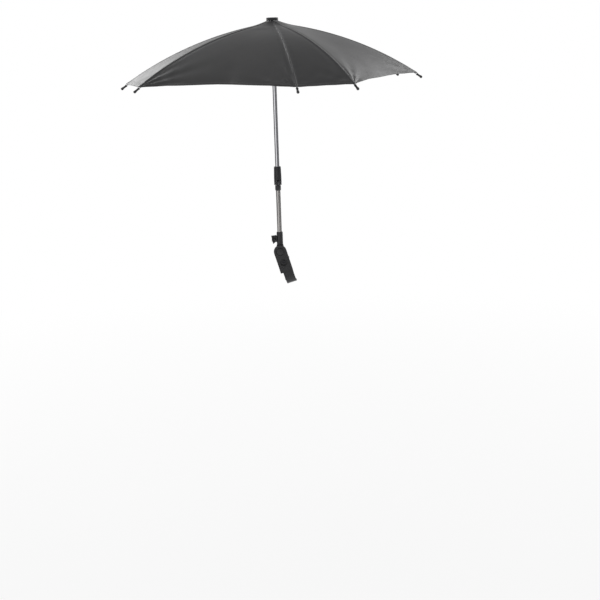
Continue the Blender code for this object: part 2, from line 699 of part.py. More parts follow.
def lower_knuckle(parent, material):
    low_lip, high_lip = COLLAR_BOTTOM + COLLAR_LIP, COLLAR_TOP - COLLAR_LIP
    bore_end = COLLAR_TOP - COLLAR_END_WALL
    collar = [(ROD_BORE, COLLAR_BOTTOM), (COLLAR_RADIUS - COLLAR_LIP / 2, COLLAR_BOTTOM)]
    collar += [(COLLAR_RADIUS, low_lip), (COLLAR_RADIUS, high_lip)]
    collar += [(COLLAR_RADIUS - COLLAR_LIP, COLLAR_TOP), (0, COLLAR_TOP)]
    collar += [(0, bore_end), (ROD_BORE, bore_end)]
    outline = arc((0, KNUCKLE_HEIGHT), TONGUE_RADIUS, 0, math.pi, 14)
    outline += [(-TONGUE_RADIUS, high_lip), (TONGUE_RADIUS, high_lip)]
    tongue = prism(outline, -TONGUE_THICKNESS / 2, TONGUE_THICKNESS / 2, "X")
    body = join(lathe(collar, 28, closed=True), tongue)
    pin_bore = rod(KNUCKLE_PIN_RADIUS + FIT, -THROUGH, THROUGH, 14, "X", (0, 0, KNUCKLE_HEIGHT))
    return finish(cut(body, pin_bore), "lower_knuckle", material, parent)


def knuckle_pin(parent, material):
    face = KNUCKLE_RADIUS - SPOT_FACE_DEPTH + FIT
    profile = [(0, -face - KNUCKLE_PIN_HEAD), (KNUCKLE_PIN_HEAD_RADIUS, -face - KNUCKLE_PIN_HEAD)]
    profile += [(KNUCKLE_PIN_HEAD_RADIUS, -face), (KNUCKLE_PIN_RADIUS, -face)]
    profile += [(radius, -height) for radius, height in reversed(profile)]
    return finish(lathe(profile, 18, "X"), "knuckle_pin", material, parent, (0, 0, KNUCKLE_HEIGHT))


def upper_knuckle(parent, material):
    # The sleeve starts below its two ears, whose outline then trims it
    low = KNUCKLE_HEIGHT - TONGUE_RADIUS - THROUGH
    sleeve = [(0, low), (KNUCKLE_RADIUS, low), (KNUCKLE_RADIUS, FORK_TOP + KNUCKLE_STRAIGHT)]
    sleeve += [(KNUCKLE_NECK_RADIUS, KNUCKLE_TOP - KNUCKLE_LIP)]
    sleeve += [(KNUCKLE_NECK_RADIUS - KNUCKLE_LIP, KNUCKLE_TOP), (SHAFT_BORE, KNUCKLE_TOP)]
    sleeve += [(SHAFT_BORE, SHAFT_FLOOR), (0, SHAFT_FLOOR)]
    ears = arc((0, KNUCKLE_HEIGHT), TONGUE_RADIUS, math.radians(200), math.radians(340), 12)
    ears += [(KNUCKLE_RADIUS, KNUCKLE_HEIGHT + TONGUE_RADIUS), (KNUCKLE_RADIUS, 2 * KNUCKLE_TOP)]
    ears += [(-KNUCKLE_RADIUS, 2 * KNUCKLE_TOP), (-KNUCKLE_RADIUS, KNUCKLE_HEIGHT + TONGUE_RADIUS)]
    body = overlap(lathe(sleeve, 28, closed=True), prism(ears, -THROUGH, THROUGH, "X"))
    centre = (0, 0, KNUCKLE_HEIGHT)
    spot = KNUCKLE_RADIUS - SPOT_FACE_DEPTH
    body = cut(
        body,
        box((-FORK_HALF_GAP, -THROUGH, low), (FORK_HALF_GAP, THROUGH, FORK_TOP)),
        rod(KNUCKLE_PIN_RADIUS + FIT, -THROUGH, THROUGH, 14, "X", centre),
        rod(KNUCKLE_PIN_HEAD_RADIUS + FIT, spot, THROUGH, 18, "X", centre),
        rod(KNUCKLE_PIN_HEAD_RADIUS + FIT, -THROUGH, -spot, 18, "X", centre),
    )
    return finish(body, "upper_knuckle", material, parent)


def notches(low, high):
    # Radial slots, one on each rib's azimuth
    made = []
    for azimuth in AZIMUTHS:
        slot = box(
            (NOTCH_FLOOR_RADIUS, -NOTCH_WIDTH / 2, low), (2 * NOTCH_RING_RADIUS, NOTCH_WIDTH / 2, high)
        )
        slot.data.transform(Matrix.Rotation(azimuth - math.pi / 2, 4, "Z"))
        made.append(slot)
    return made


def wire_grooved(profile_low, profile_high):
    # The rim of a notched ring, with the groove that its wire lies in
    depth = HINGE_RADIUS - WIRE_RADIUS - FIT
    half = WIRE_GROOVE / 2
    return [
        (NOTCH_RING_RADIUS, profile_low), (NOTCH_RING_RADIUS, -half), (depth, -half),
        (depth, half), (NOTCH_RING_RADIUS, half), (NOTCH_RING_RADIUS, profile_high),
    ]


def hinge_wire(name, parent, material, height):
    profile = circle((HINGE_RADIUS, 0), WIRE_RADIUS, 6)
    return finish(lathe(profile, 32, closed=True), name, material, parent, (0, 0, height))


def crown(parent, material):
    rim = wire_grooved(-CROWN_BELOW, CROWN_ABOVE)
    profile = [(SHAFT_BORE, -CROWN_BELOW)] + rim
    screw_bore = CAP_SCREW_RADIUS + FIT
    profile += [(screw_bore, CROWN_ABOVE), (screw_bore, CROWN_NOTCH_TOP + FIT)]
    profile += [(SHAFT_BORE, CROWN_NOTCH_TOP + FIT)]
    body = cut(lathe(profile, 32, closed=True), *notches(-THROUGH, CROWN_NOTCH_TOP))
    return finish(body, "crown", material, parent, (0, 0, CROWN_HEIGHT))


def runner(parent, material):
    low = RUNNER_RING_HALF - RUNNER_LENGTH
    grip_top = low + RUNNER_GRIP_LENGTH
    rim = wire_grooved(-RUNNER_RING_HALF, RUNNER_RING_HALF)
    profile = [(SHAFT_BORE, low), (RUNNER_GRIP_RADIUS - RUNNER_GRIP_LIP, low)]
    profile += [(RUNNER_GRIP_RADIUS, low + RUNNER_GRIP_LIP), (RUNNER_GRIP_RADIUS, grip_top)]
    profile += [(RUNNER_SLEEVE_RADIUS, grip_top + RUNNER_GRIP_SLOPE)]
    profile += [(RUNNER_SLEEVE_RADIUS, -RUNNER_RING_HALF)]
    profile += rim + [(SHAFT_BORE, RUNNER_RING_HALF)]
    body = cut(lathe(profile, 32, closed=True), *notches(-2 * RUNNER_RING_HALF, 2 * RUNNER_RING_HALF))
    half = CATCH_WIDTH / 2 + CATCH_SLOT_MARGIN
    window = box(
        (0, -half, -CATCH_PIVOT_DROP - CATCH_HALF_LENGTH - CATCH_SLOT_MARGIN),
        (THROUGH, half, -CATCH_PIVOT_DROP + CATCH_HALF_LENGTH + CATCH_SLOT_MARGIN),
    )
    pivot = (CATCH_PIVOT, 0, -CATCH_PIVOT_DROP)
    pin_bore = rod(CATCH_PIN_RADIUS + FIT, -THROUGH, THROUGH, 10, "Y", pivot)
    body = cut(body, window, pin_bore)
    return finish(body, "runner", material, parent, (0, 0, RUNNER_HEIGHT))


def runner_catch(parent, material):
    # A rocker in the sleeve's window: its nose holds the shaft, and its foot is pressed to let go
    nose = SHAFT_BORE - CATCH_PIVOT
    back = CATCH_THICKNESS / 2
    length = CATCH_HALF_LENGTH
    outline = [
        (nose, length), (nose, length - CATCH_NOSE), (-back / 2, CATCH_HOLLOW), (-back / 2, -length),
        (CATCH_FOOT, -length), (CATCH_FOOT, CATCH_NOSE - length), (back, 0), (back, length),
    ]
    plate = prism(outline, -CATCH_WIDTH / 2, CATCH_WIDTH / 2)
    reach = CATCH_WIDTH / 2 + CATCH_SLOT_MARGIN + CATCH_PIN_SEAT
    body = join(plate, rod(CATCH_PIN_RADIUS, -reach, reach, 10, "Y"))
    return finish(body, "runner_catch", material, parent, (CATCH_PIVOT, 0, -CATCH_PIVOT_DROP))


def top_cap(parent, material):
    low = CROWN_ABOVE + 2 * FIT + COVER_THICKNESS
    bore = CAP_SCREW_RADIUS + FIT
    rim_top = low + CAP_RIM
    cap_top = rim_top + CAP_DOME
    profile = [(bore, low), (CAP_RADIUS - CAP_EDGE, low), (CAP_RADIUS, low + CAP_EDGE)]
    profile += [(CAP_RADIUS, rim_top - CAP_EDGE), (CAP_RADIUS - CAP_EDGE, rim_top)]
    profile += [(CAP_SCREW_HEAD_RADIUS + CAP_FLAT, cap_top), (bore, cap_top)]
    finish(lathe(profile, 28, closed=True), "top_cap", material, parent, (0, 0, CROWN_HEIGHT))

    seat = cap_top + FIT
    head = [(0, seat - CAP_SCREW_LENGTH), (CAP_SCREW_RADIUS, seat - CAP_SCREW_LENGTH)]
    head += [(CAP_SCREW_RADIUS, seat), (CAP_SCREW_HEAD_RADIUS, seat)]
    head += [
        (CAP_SCREW_HEAD_RADIUS * math.cos(turn), seat + CAP_SCREW_HEAD * (1 + math.sin(turn)) / 2)
        for turn in (step * math.pi / 6 for step in range(3))
    ]
    head += [(0, seat + CAP_SCREW_HEAD)]
    finish(lathe(head, 20), "cap_screw", material, parent, (0, 0, CROWN_HEIGHT))


def channel_section(width, crest, depth, wall, scale=1.0):
    # A channel that is open below: (across, up) points, crest being the narrower top
    half, top, deep = width / 2 * scale, crest / 2 * scale, depth / 2 * scale
    inner_top, inner_deep = top - wall / 2, deep - wall
    return [
        (-top, deep), (top, deep), (half, -deep), (half - wall, -deep),
        (inner_top, inner_deep), (-inner_top, inner_deep), (wall - half, -deep), (-half, -deep),
    ]


def rib_channel():
    start = EYE_LENGTH - RIB_LAP
    sections = []
    for step in range(RIB_STEPS + 1):
        along = start + (RIB_END - start) * step / RIB_STEPS
        share = max(0.0, along / RIB_LENGTH - RIB_TAPER_START) / (1 - RIB_TAPER_START)
        scale = 1 + (RIB_TIP_SCALE - 1) * share
        points = channel_section(RIB_WIDTH, RIB_CREST, RIB_DEPTH, RIB_WALL, scale)
        places = [(rib_point(along, up), across) for across, up in points]
        sections.append([(out, across, height) for (out, height), across in places])
    return loft(sections)


def eye_plate(radius, length, half_height, slope):
    # A flat end with a round eye at the origin, its length running down a slope
    half_turn = math.asin(half_height / radius)
    outline = arc((0, 0), radius, half_turn, math.tau - half_turn, 9)
    outline += [(length, -half_height), (length, half_height)]
    plate = prism(outline, -EYE_THICKNESS / 2, EYE_THICKNESS / 2)
    plate.data.transform(Matrix.Rotation(slope, 4, "Y"))
    return plate


def rib():
    plate = eye_plate(EYE_RADIUS, EYE_LENGTH + RIB_LAP, RIB_EYE_HALF_HEIGHT, RIB_FIRST_SLOPE)
    body = join(rib_channel(), plate)
    rivet_place = (RIVET_OUT, 0, RIVET_UP)
    return cut(
        body,
        rod(EYE_HOLE, -RIB_WIDTH, RIB_WIDTH, 8, "Y"),
        rod(RIVET_BORE, -RIB_WIDTH, RIB_WIDTH, 8, "Y", rivet_place),
    )


def rib_rivet():
    face = RIB_WIDTH / 2 + FIT / 2
    end = face + RIVET_HEAD
    profile = [(0, -end), (RIVET_HEAD_RADIUS, -end), (RIVET_HEAD_RADIUS, -face), (RIVET_RADIUS, -face)]
    profile += [(radius, -height) for radius, height in reversed(profile)]
    return lathe(profile, 8, "Y")


def stretcher():
    # The origin is the rivet, and the runner's wire lies at -STRETCHER_LENGTH along X
    wire = -STRETCHER_LENGTH
    flat_in = wire + STRETCHER_FLAT
    flat_out = -STRETCHER_FLAT
    lap_in, lap_out = flat_in + STRETCHER_LAP, flat_out - STRETCHER_LAP
    points = channel_section(STRETCHER_WIDTH, STRETCHER_CREST, STRETCHER_DEPTH, STRETCHER_WALL)
    ends = (flat_in - STRETCHER_LAP, flat_out + STRETCHER_LAP)
    channel = loft([[(end, across, up) for across, up in points] for end in ends])
    half = STRETCHER_DEPTH / 2 - STRETCHER_WALL / 2
    tongue = arc((0, 0), STRETCHER_TONGUE_RADIUS, math.radians(-60), math.radians(60), 6)
    tongue += [(flat_out, half), (lap_out, half), (lap_out, -half), (flat_out, -half)]
    outer = prism(tongue, -EYE_THICKNESS / 2, EYE_THICKNESS / 2)

    # The eye for the runner's wire is an open hook, which the wire can leave at half fold
    lip = EYE_RADIUS - EYE_HOLE
    hook = arc((wire, 0), EYE_HOLE, math.radians(150), math.radians(290), 6)
    hook += [(wire + HOOK_NECK, half - lip / 3), (wire + HOOK_SHOULDER, half), (lap_in, half)]
    hook += [(lap_in, -half), (wire + HOOK_THROAT, -half - lip / 2)]
    hook += arc((wire, 0), EYE_RADIUS, math.radians(290), math.radians(150), 6)
    inner = prism(hook, -EYE_THICKNESS / 2, EYE_THICKNESS / 2)
    body = join(channel, outer, inner)
    return cut(body, rod(RIVET_BORE, -RIB_WIDTH, RIB_WIDTH, 8, "Y"))


def rib_tip():
    # The origin is the rib's hinge; the cap is turned round the line of the rib's last stretch
    profile = [(CAP_BORE_RADIUS, 0), (CAP_NECK_RADIUS, 0)]
    profile += [(CAP_NECK_RADIUS, CAP_LENGTH * CAP_NECK_SHARE)]
    profile += [(CAP_BEAD_RADIUS * wide, CAP_LENGTH * along) for wide, along in CAP_BEAD_SHAPE]
    profile += [(0, CAP_LENGTH), (0, CAP_BORE_DEPTH), (CAP_BORE_RADIUS, CAP_BORE_DEPTH)]
    cap = lathe(profile, 10, closed=True)
    start, end = (
        Vector((out, 0, up)) for out, up in (rib_point(RIB_LENGTH - CAP_LENGTH), rib_point(RIB_LENGTH))
    )
    turn = Vector((0, 0, 1)).rotation_difference(end - start).to_matrix().to_4x4()
    cap.data.transform(Matrix.Translation(start) @ turn)
    return cap


def ribs_and_stretchers(parent, steel, plastic):
    shapes = {"rib": (rib(), steel), "rib_rivet": (rib_rivet(), steel)}
    shapes["rib_tip"] = (rib_tip(), plastic)
    shapes["stretcher"] = (stretcher(), steel)
    for number, azimuth in enumerate(AZIMUTHS, 1):
        outward = azimuth - math.pi / 2
        direction = Vector((math.cos(outward), math.sin(outward), 0))
        hinge = direction * HINGE_RADIUS + Vector((0, 0, CROWN_HEIGHT))
        rivet = hinge + direction * RIVET_OUT + Vector((0, 0, RIVET_UP))
        for kind, (shape, material) in shapes.items():
            at_hinge = kind in ("rib", "rib_tip")
            place = hinge if at_hinge else rivet
            slope = -STRETCHER_SLOPE if kind == "stretcher" else 0
            if number == 1:
                finish(shape, kind + "_1", material, parent, place, (0, slope, outward))
            else:
                copy_of(shape, f"{kind}_{number}", parent, place, (0, slope, outward))


def cover_profile(row, lift):
    # (out, up) of the cover over a rib, from the crown's centre: flat under the cap, then down the rib
    flat = CROWN_ABOVE + FIT
    if row == 0:
        return COVER_HOLE_RADIUS, flat + lift
    above = RIB_DEPTH / 2 + COVER_ABOVE_RIB
    start = CAP_RADIUS - HINGE_RADIUS
    share = ((row - 1) / (COVER_ROWS - 1)) ** COVER_SPACING
    along = start + (COVER_END - start) * share
    out, up = rib_point(along, above + lift)
    flare = flat - rib_point(start, above)[1]
    near = max(0.0, 1 - (along - start) / FLARE_LENGTH)
    return HINGE_RADIUS + out, up + flare * near ** 2


def cover_point(azimuth, row, lift):
    out, up = cover_profile(row, lift)
    return Vector((math.sin(azimuth) * out, -math.cos(azimuth) * out, up))


def cover_column(start, end, share, wide, lift):
    # One line of the cover from the crown to the hem: round close to the cap, then straight between
    # two ribs, with the hem drawn in and up on a wide side
    slack = 4 * share * (1 - share)
    column = []
    for row in range(COVER_ROWS + 1):
        straight = cover_point(start, row, lift).lerp(cover_point(end, row, lift), share)
        round_point = cover_point(start + (end - start) * share, row, lift)
        out = math.hypot(straight.x, straight.y)
        point = round_point.lerp(straight, min(1.0, max(0.0, (out - ROUND_START) / ROUND_RADIUS)))
        if wide:
            part = row / COVER_ROWS
            inward = Vector((-point.x, -point.y, 0)).normalized()
            point += inward * (WIDE_SAG * slack * part)
            point += (inward + Vector((0, 0, HEM_LIFT))) * (HEM_SCALLOP * slack * part ** HEM_POWER)
        column.append(point)
    return column


def canopy_cover(parent, material):
    bm = bmesh.new()
    layers = []
    ends = AZIMUTHS[1:] + [AZIMUTHS[0] + math.tau]
    for lift in (0.0, COVER_THICKNESS):
        columns = []
        for number, (start, end) in enumerate(zip(AZIMUTHS, ends)):
            wide = number % 2 == 1
            count = WIDE_COLUMNS if wide else NARROW_COLUMNS
            for step in range(count):
                column = cover_column(start, end, step / count, wide, lift)
                columns.append([bm.verts.new(point) for point in column])
        layers.append(columns)
    inner, outer = layers
    total = len(inner)
    for k in range(total):
        after = (k + 1) % total
        for row in range(COVER_ROWS):
            bm.faces.new((outer[k][row], outer[k][row + 1], outer[after][row + 1], outer[after][row]))
            bm.faces.new((inner[k][row], inner[after][row], inner[after][row + 1], inner[k][row + 1]))
        for row in (0, COVER_ROWS):
            bm.faces.new((inner[k][row], inner[after][row], outer[after][row], outer[k][row]))
    return finish(workpiece(bm), "canopy_cover", material, parent, (0, 0, CROWN_HEIGHT))


def shaft(parent, chrome, satin, plastic, steel):
    tube("lower_rod_tube", ROD_RADIUS, SOCKET_FLOOR + FIT, ROD_TOP, parent, satin)
    lower_knuckle(parent, plastic)
    knuckle_pin(parent, steel)
    upper_knuckle(parent, plastic)
    tube("upper_shaft_tube", SHAFT_RADIUS, SHAFT_FLOOR + FIT, SHAFT_TOP, parent, chrome)


def build():
    clear_scene()
    plastic = paint("black_plastic", (0.030, 0.030, 0.033), 0.55)
    dark = paint("soft_black", (0.022, 0.022, 0.024), 0.70)
    rubber = paint("grip_rubber", (0.015, 0.015, 0.015), 0.85)
    chrome = paint("bright_chrome", (0.80, 0.80, 0.82), 0.12, 1.0)
    satin = paint("satin_chrome", (0.78, 0.76, 0.75), 0.25, 1.0)
    steel = paint("plated_steel", (0.55, 0.55, 0.57), 0.35, 1.0)
    cloth = paint("cover_cloth", (0.050, 0.050, 0.055), 0.80)

    clamp_frame = axis("clamp_frame", (0, 0, 0), (0, -CLAMP_LEAN, 0))
    clamp(clamp_frame, plastic, rubber, steel, dark)
    tilt_bolt(clamp_frame, plastic, steel)

    tilt_axis = axis("tilt_axis", TILT_POINT)
    rod_socket(tilt_axis, plastic)
    wing_screw(tilt_axis, dark)
    shaft(tilt_axis, chrome, satin, plastic, steel)

    crown(tilt_axis, plastic)
    hinge_wire("crown_wire", tilt_axis, steel, CROWN_HEIGHT)
    top_cap(tilt_axis, plastic)
    ribs_and_stretchers(tilt_axis, steel, plastic)
    canopy_cover(tilt_axis, cloth)

    runner(tilt_axis, plastic)
    hinge_wire("runner_wire", tilt_axis, steel, RUNNER_HEIGHT)
    runner_axis = axis("runner_axis", (0, 0, RUNNER_HEIGHT), parent=tilt_axis)
    runner_catch(runner_axis, dark)

    print(f"Runner slides down {RUNNER_TRAVEL * 1000:.1f} mm as the canopy folds")
    print(f"Ribs turn down {math.degrees(FOLD_ANGLE):.1f} degrees")
    print(f"Stretchers turn {math.degrees(STRETCHER_TURN):.1f} degrees on their rivets")
    print(f"Knob backs off {WASHER_TRAVEL / SCREW_LEAD:.1f} turns for the open jaw")


build()
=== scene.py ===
import json
import math

import bmesh
import bpy
from mathutils import Matrix, Vector, noise


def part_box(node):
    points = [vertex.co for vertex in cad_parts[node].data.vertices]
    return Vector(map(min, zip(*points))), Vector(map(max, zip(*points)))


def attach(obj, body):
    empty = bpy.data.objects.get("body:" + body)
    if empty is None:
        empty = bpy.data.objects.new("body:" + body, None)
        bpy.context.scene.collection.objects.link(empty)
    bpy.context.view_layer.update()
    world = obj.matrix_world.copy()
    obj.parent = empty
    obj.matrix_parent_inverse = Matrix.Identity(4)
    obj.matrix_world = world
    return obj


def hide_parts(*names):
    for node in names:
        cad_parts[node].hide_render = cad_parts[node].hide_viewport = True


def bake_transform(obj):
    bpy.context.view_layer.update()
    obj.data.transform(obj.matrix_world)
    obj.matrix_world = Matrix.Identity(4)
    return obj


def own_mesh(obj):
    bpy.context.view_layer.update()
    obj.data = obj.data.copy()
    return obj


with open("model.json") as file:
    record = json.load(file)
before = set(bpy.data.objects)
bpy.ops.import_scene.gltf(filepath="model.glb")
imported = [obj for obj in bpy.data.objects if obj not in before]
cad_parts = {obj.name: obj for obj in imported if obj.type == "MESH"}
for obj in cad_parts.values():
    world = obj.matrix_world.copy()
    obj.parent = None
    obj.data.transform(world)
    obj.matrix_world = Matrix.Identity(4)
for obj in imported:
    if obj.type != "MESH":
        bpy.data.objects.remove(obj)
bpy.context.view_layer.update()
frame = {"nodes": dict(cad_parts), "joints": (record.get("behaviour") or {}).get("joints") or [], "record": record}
nodes = frame["nodes"]
joints = {joint["name"]: joint for joint in frame["joints"]}
bodyOf = {
    node: body for body, members in frame["record"]["behaviour"]["bodies"].items() for node in members}
print("frame loaded:", len(nodes), "pieces")

# Camera: it looks down on the canopy as the photograph does
camera = {
    "lens": 72.0,
    "sensor": 36.0,
    "pitch": 13.67,  # degrees
    "roll": -1.75,
    "canopyRight": -0.0607,  # the middle of the rib ends, seen from the lens, in metres
    "canopyDown": -0.5142,
    "canopyAhead": 2.8444,
    "tipHalfHeight": 0.0024,
}


def ribEndsMiddle():
    # The point on the shaft's axis level with the outer ends of the ribs
    tips = [nodes[f"rib_tip_{number}"] for number in range(1, 9)]
    lowest = min(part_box(tip.name)[0].z for tip in tips)
    hinge = Vector(joints["rib_1_fold"]["pos_m"])
    opposite = Vector(joints["rib_5_fold"]["pos_m"])
    middle = (hinge + opposite) / 2
    return Vector((middle.x, middle.y, lowest + camera["tipHalfHeight"]))


def placeCamera():
    lens = bpy.data.cameras.new("photoCamera")
    lens.lens = camera["lens"]
    lens.sensor_width = camera["sensor"]
    holder = bpy.data.objects.new("photoCamera", lens)
    bpy.context.scene.collection.objects.link(holder)
    upright = Matrix(((1, 0, 0), (0, 0, -1), (0, 1, 0)))  # world axes as right, down, ahead
    pitch = Matrix.Rotation(math.radians(camera["pitch"]), 3, "X")
    roll = Matrix.Rotation(math.radians(camera["roll"]), 3, "Z")
    facing = pitch @ roll @ upright
    offset = Vector((camera["canopyRight"], camera["canopyDown"], camera["canopyAhead"]))
    place = ribEndsMiddle() - facing.transposed() @ offset
    turn = Matrix(((1, 0, 0), (0, -1, 0), (0, 0, -1))) @ facing
    holder.matrix_world = Matrix.Translation(place) @ turn.transposed().to_4x4()
    bpy.context.scene.camera = holder


placeCamera()
print("camera placed")

# Studio: pale floor, white surroundings, large soft lamps, and dark cards that only gloss can show
studio = {
    "floorHeight": -0.78,
    "floorSize": 40.0,
    "floorColour": (0.86, 0.86, 0.86),
    "floorShine": (0.80, 1.0),  # the floor's share of plain white under the object, and far off
    "floorFade": (0.9, 3.2),
    "floorMottle": 0.985,
    "floorRoughness": 0.9,
    "surroundLight": 0.50,
    "ceiling": 0.30,  # how bright gloss finds the room overhead
    "ceilingFrom": (0.25, 0.60),  # the rise of a direction at which that begins and is full
    "lamps": (
        ("lampLeft", (-1.8, 2.0, 1.6), 2.0, 34),
        ("lampRight", (2.2, 1.6, 1.7), 2.0, 31),
        ("lampTop", (-0.3, -0.4, 3.1), 2.0, 8),
    ),
    "lampsFace": (0.0, 0.0, 0.35),
    "cardDistance": 3.6,
    "cardHeights": (-0.76, 0.50),
    "cardColour": (0.24, 0.24, 0.245),
    # From and to, in degrees round the object: 0 is towards the lens, positive to its right
    "cards": ((-7, 156), (-160, -54)),
    "cardStep": 4,
}


def buildStudio():
    bm = bmesh.new()
    bmesh.ops.create_grid(bm, x_segments=8, y_segments=8, size=studio["floorSize"] / 2)
    floor = newObject("studioFloor", bm)
    floor.location.z = studio["floorHeight"]
    floor.data.materials.append(floorFinish())
    lightSurroundings()
    for name, spot, size, power in studio["lamps"]:
        lamp = bpy.data.lights.new(name, "AREA")
        lamp.shape = "DISK"
        lamp.size = size
        lamp.energy = power
        holder = bpy.data.objects.new(name, lamp)
        bpy.context.scene.collection.objects.link(holder)
        holder.location = spot
        aim = Vector(studio["lampsFace"]) - Vector(spot)
        holder.rotation_euler = aim.to_track_quat("-Z", "Y").to_euler()
    standCards()
    bpy.context.scene.view_settings.view_transform = "Standard"


def seenDirectly(tree, path):
    seen = calc(tree, "MAXIMUM", path.outputs["Is Camera Ray"], path.outputs["Is Glossy Ray"])
    return calc(tree, "MAXIMUM", seen, path.outputs["Is Transmission Ray"])


def floorFinish():
    # Lit and shadowed near the object, and plain white where it meets the surroundings
    material, tree, shader = newFinish("studioFloor")
    where = objectSpace(tree)
    away = place(tree, "ShaderNodeVectorMath", {"operation": "LENGTH"})
    tree.links.new(where, away.inputs[0])
    share = ramp(tree, away.outputs["Value"], studio["floorFade"], studio["floorShine"], "SMOOTHSTEP")
    mottled = tuple(value * studio["floorMottle"] for value in studio["floorColour"])
    join(tree, shader.inputs["Base Color"], blendColour(
        tree, noiseOf(tree, where, 3.0, 4.0), studio["floorColour"], mottled))
    shader.inputs["Roughness"].default_value = studio["floorRoughness"]
    seen = seenDirectly(tree, place(tree, "ShaderNodeLightPath"))
    white = place(tree, "ShaderNodeEmission", Color=(1, 1, 1, 1), Strength=1.0)
    mixed = tree.nodes.new("ShaderNodeMixShader")
    tree.links.new(calc(tree, "MULTIPLY", seen, share), mixed.inputs[0])
    tree.links.new(shader.outputs[0], mixed.inputs[1])
    tree.links.new(white.outputs[0], mixed.inputs[2])
    tree.links.new(mixed.outputs[0], tree.nodes["Material Output"].inputs["Surface"])
    return material


def lightSurroundings():
    world = bpy.data.worlds.new("studio")
    bpy.context.scene.world = world
    world.use_nodes = True
    tree = world.node_tree
    background = tree.nodes["Background"]
    path = place(tree, "ShaderNodeLightPath")
    direction = place(tree, "ShaderNodeTexCoord").outputs["Generated"]
    height = place(tree, "ShaderNodeSeparateXYZ", Vector=direction).outputs["Z"]
    overhead = ramp(tree, height, studio["ceilingFrom"], (1.0, studio["ceiling"]), "SMOOTHSTEP")
    direct = calc(tree, "MAXIMUM", overhead, path.outputs["Is Camera Ray"])
    strength = ramp(tree, seenDirectly(tree, path), (0.0, 1.0), (studio["surroundLight"], direct))
    tree.links.new(strength, background.inputs["Strength"])
    background.inputs["Color"].default_value = (1, 1, 1, 1)


def standCards():
    low, high = studio["cardHeights"]
    material, tree, shader = newFinish("studioCard")
    shader.inputs["Base Color"].default_value = (*studio["cardColour"], 1)
    shader.inputs["Roughness"].default_value = 1.0
    for number, (begin, end) in enumerate(studio["cards"], 1):
        bm = bmesh.new()
        steps = max(2, round((end - begin) / studio["cardStep"]))
        rows = []
        for step in range(steps + 1):
            angle = math.radians(begin + (end - begin) * step / steps)
            x, y = math.sin(angle) * studio["cardDistance"], -math.cos(angle) * studio["cardDistance"]
            rows.append([bm.verts.new((x, y, z)) for z in (low, high)])
        for first, last in zip(rows, rows[1:]):
            bm.faces.new((first[0], last[0], last[1], first[1]))
        card = newObject(f"studioCard{number}", bm)
        card.data.materials.append(material)
        card.visible_camera = False
        card.visible_diffuse = False
        card.visible_shadow = False
        card.visible_transmission = False


# Small helpers for meshes and nodes
def limited(value):
    return min(1.0, max(0.0, value))


def around(count):
    # Cosine and sine of points spread evenly round a circle
    return [(math.cos(math.tau * k / count), math.sin(math.tau * k / count)) for k in range(count)]


def squared(value, power):
    # Draws a circle's cosine or sine out towards a box's
    return math.copysign(abs(value) ** power, value)


def newObject(name, bm):
    mesh = bpy.data.meshes.new(name)
    bm.to_mesh(mesh)
    bm.free()
    thing = bpy.data.objects.new(name, mesh)
    bpy.context.scene.collection.objects.link(thing)
    return thing


def solidObject(name, bm):
    bmesh.ops.recalc_face_normals(bm, faces=bm.faces)
    return newObject(name, bm)


def bridgeRings(bm, rings, closed=False):
    # Faces from each ring of points to the next; a ring can be a single point
    sides = max(len(ring) for ring in rings)
    for ring, after in zip(rings, rings[1:] + rings[:1] if closed else rings[1:]):
        for k in range(sides):
            n = (k + 1) % sides
            corners = []
            for vertex in (ring[k % len(ring)], ring[n % len(ring)],
                           after[n % len(after)], after[k % len(after)]):
                if vertex not in corners:
                    corners.append(vertex)
            if len(corners) > 2:
                bm.faces.new(corners)


def shadeSmooth(piece):
    for polygon in piece.data.polygons:
        polygon.use_smooth = True


def place(tree, kind, settings=None, **inputs):
    # Adds a node, with its inputs linked or set
    node = tree.nodes.new(kind)
    for key, value in (settings or {}).items():
        setattr(node, key, value)
    for key, value in inputs.items():
        join(tree, node.inputs[key], value)
    return node


def join(tree, socket, value):
    if isinstance(value, bpy.types.NodeSocket):
        tree.links.new(value, socket)
    else:
        socket.default_value = value


def newFinish(name):
    material = bpy.data.materials.new(name)
    material.use_nodes = True
    tree = material.node_tree
    return material, tree, tree.nodes["Principled BSDF"]


def calc(tree, operation, *values):
    node = tree.nodes.new("ShaderNodeMath")
    node.operation = operation
    for socket, value in zip(node.inputs, values):
        join(tree, socket, value)
    return node.outputs[0]


def objectSpace(tree):
    return place(tree, "ShaderNodeTexCoord").outputs["Object"]


def noiseOf(tree, where, scale, detail):
    return place(tree, "ShaderNodeTexNoise", Vector=where, Scale=scale, Detail=detail).outputs[0]


def ramp(tree, value, span, results, kind="LINEAR"):
    return place(tree, "ShaderNodeMapRange", {"interpolation_type": kind}, **{
        "Value": value, "From Min": span[0], "From Max": span[1],
        "To Min": results[0], "To Max": results[1]}).outputs[0]


def blendColour(tree, share, first, second):
    node = tree.nodes.new("ShaderNodeMix")
    node.data_type = "RGBA"
    join(tree, node.inputs["Factor"], share)
    for number, colour in ((6, first), (7, second)):
        join(tree, node.inputs[number], (*colour, 1) if isinstance(colour, tuple) else colour)
    return node.outputs[2]


def addBump(tree, shader, height, strength, distance):
    bump = place(tree, "ShaderNodeBump", Height=height, Strength=strength, Distance=distance)
    tree.links.new(bump.outputs[0], shader.inputs["Normal"])


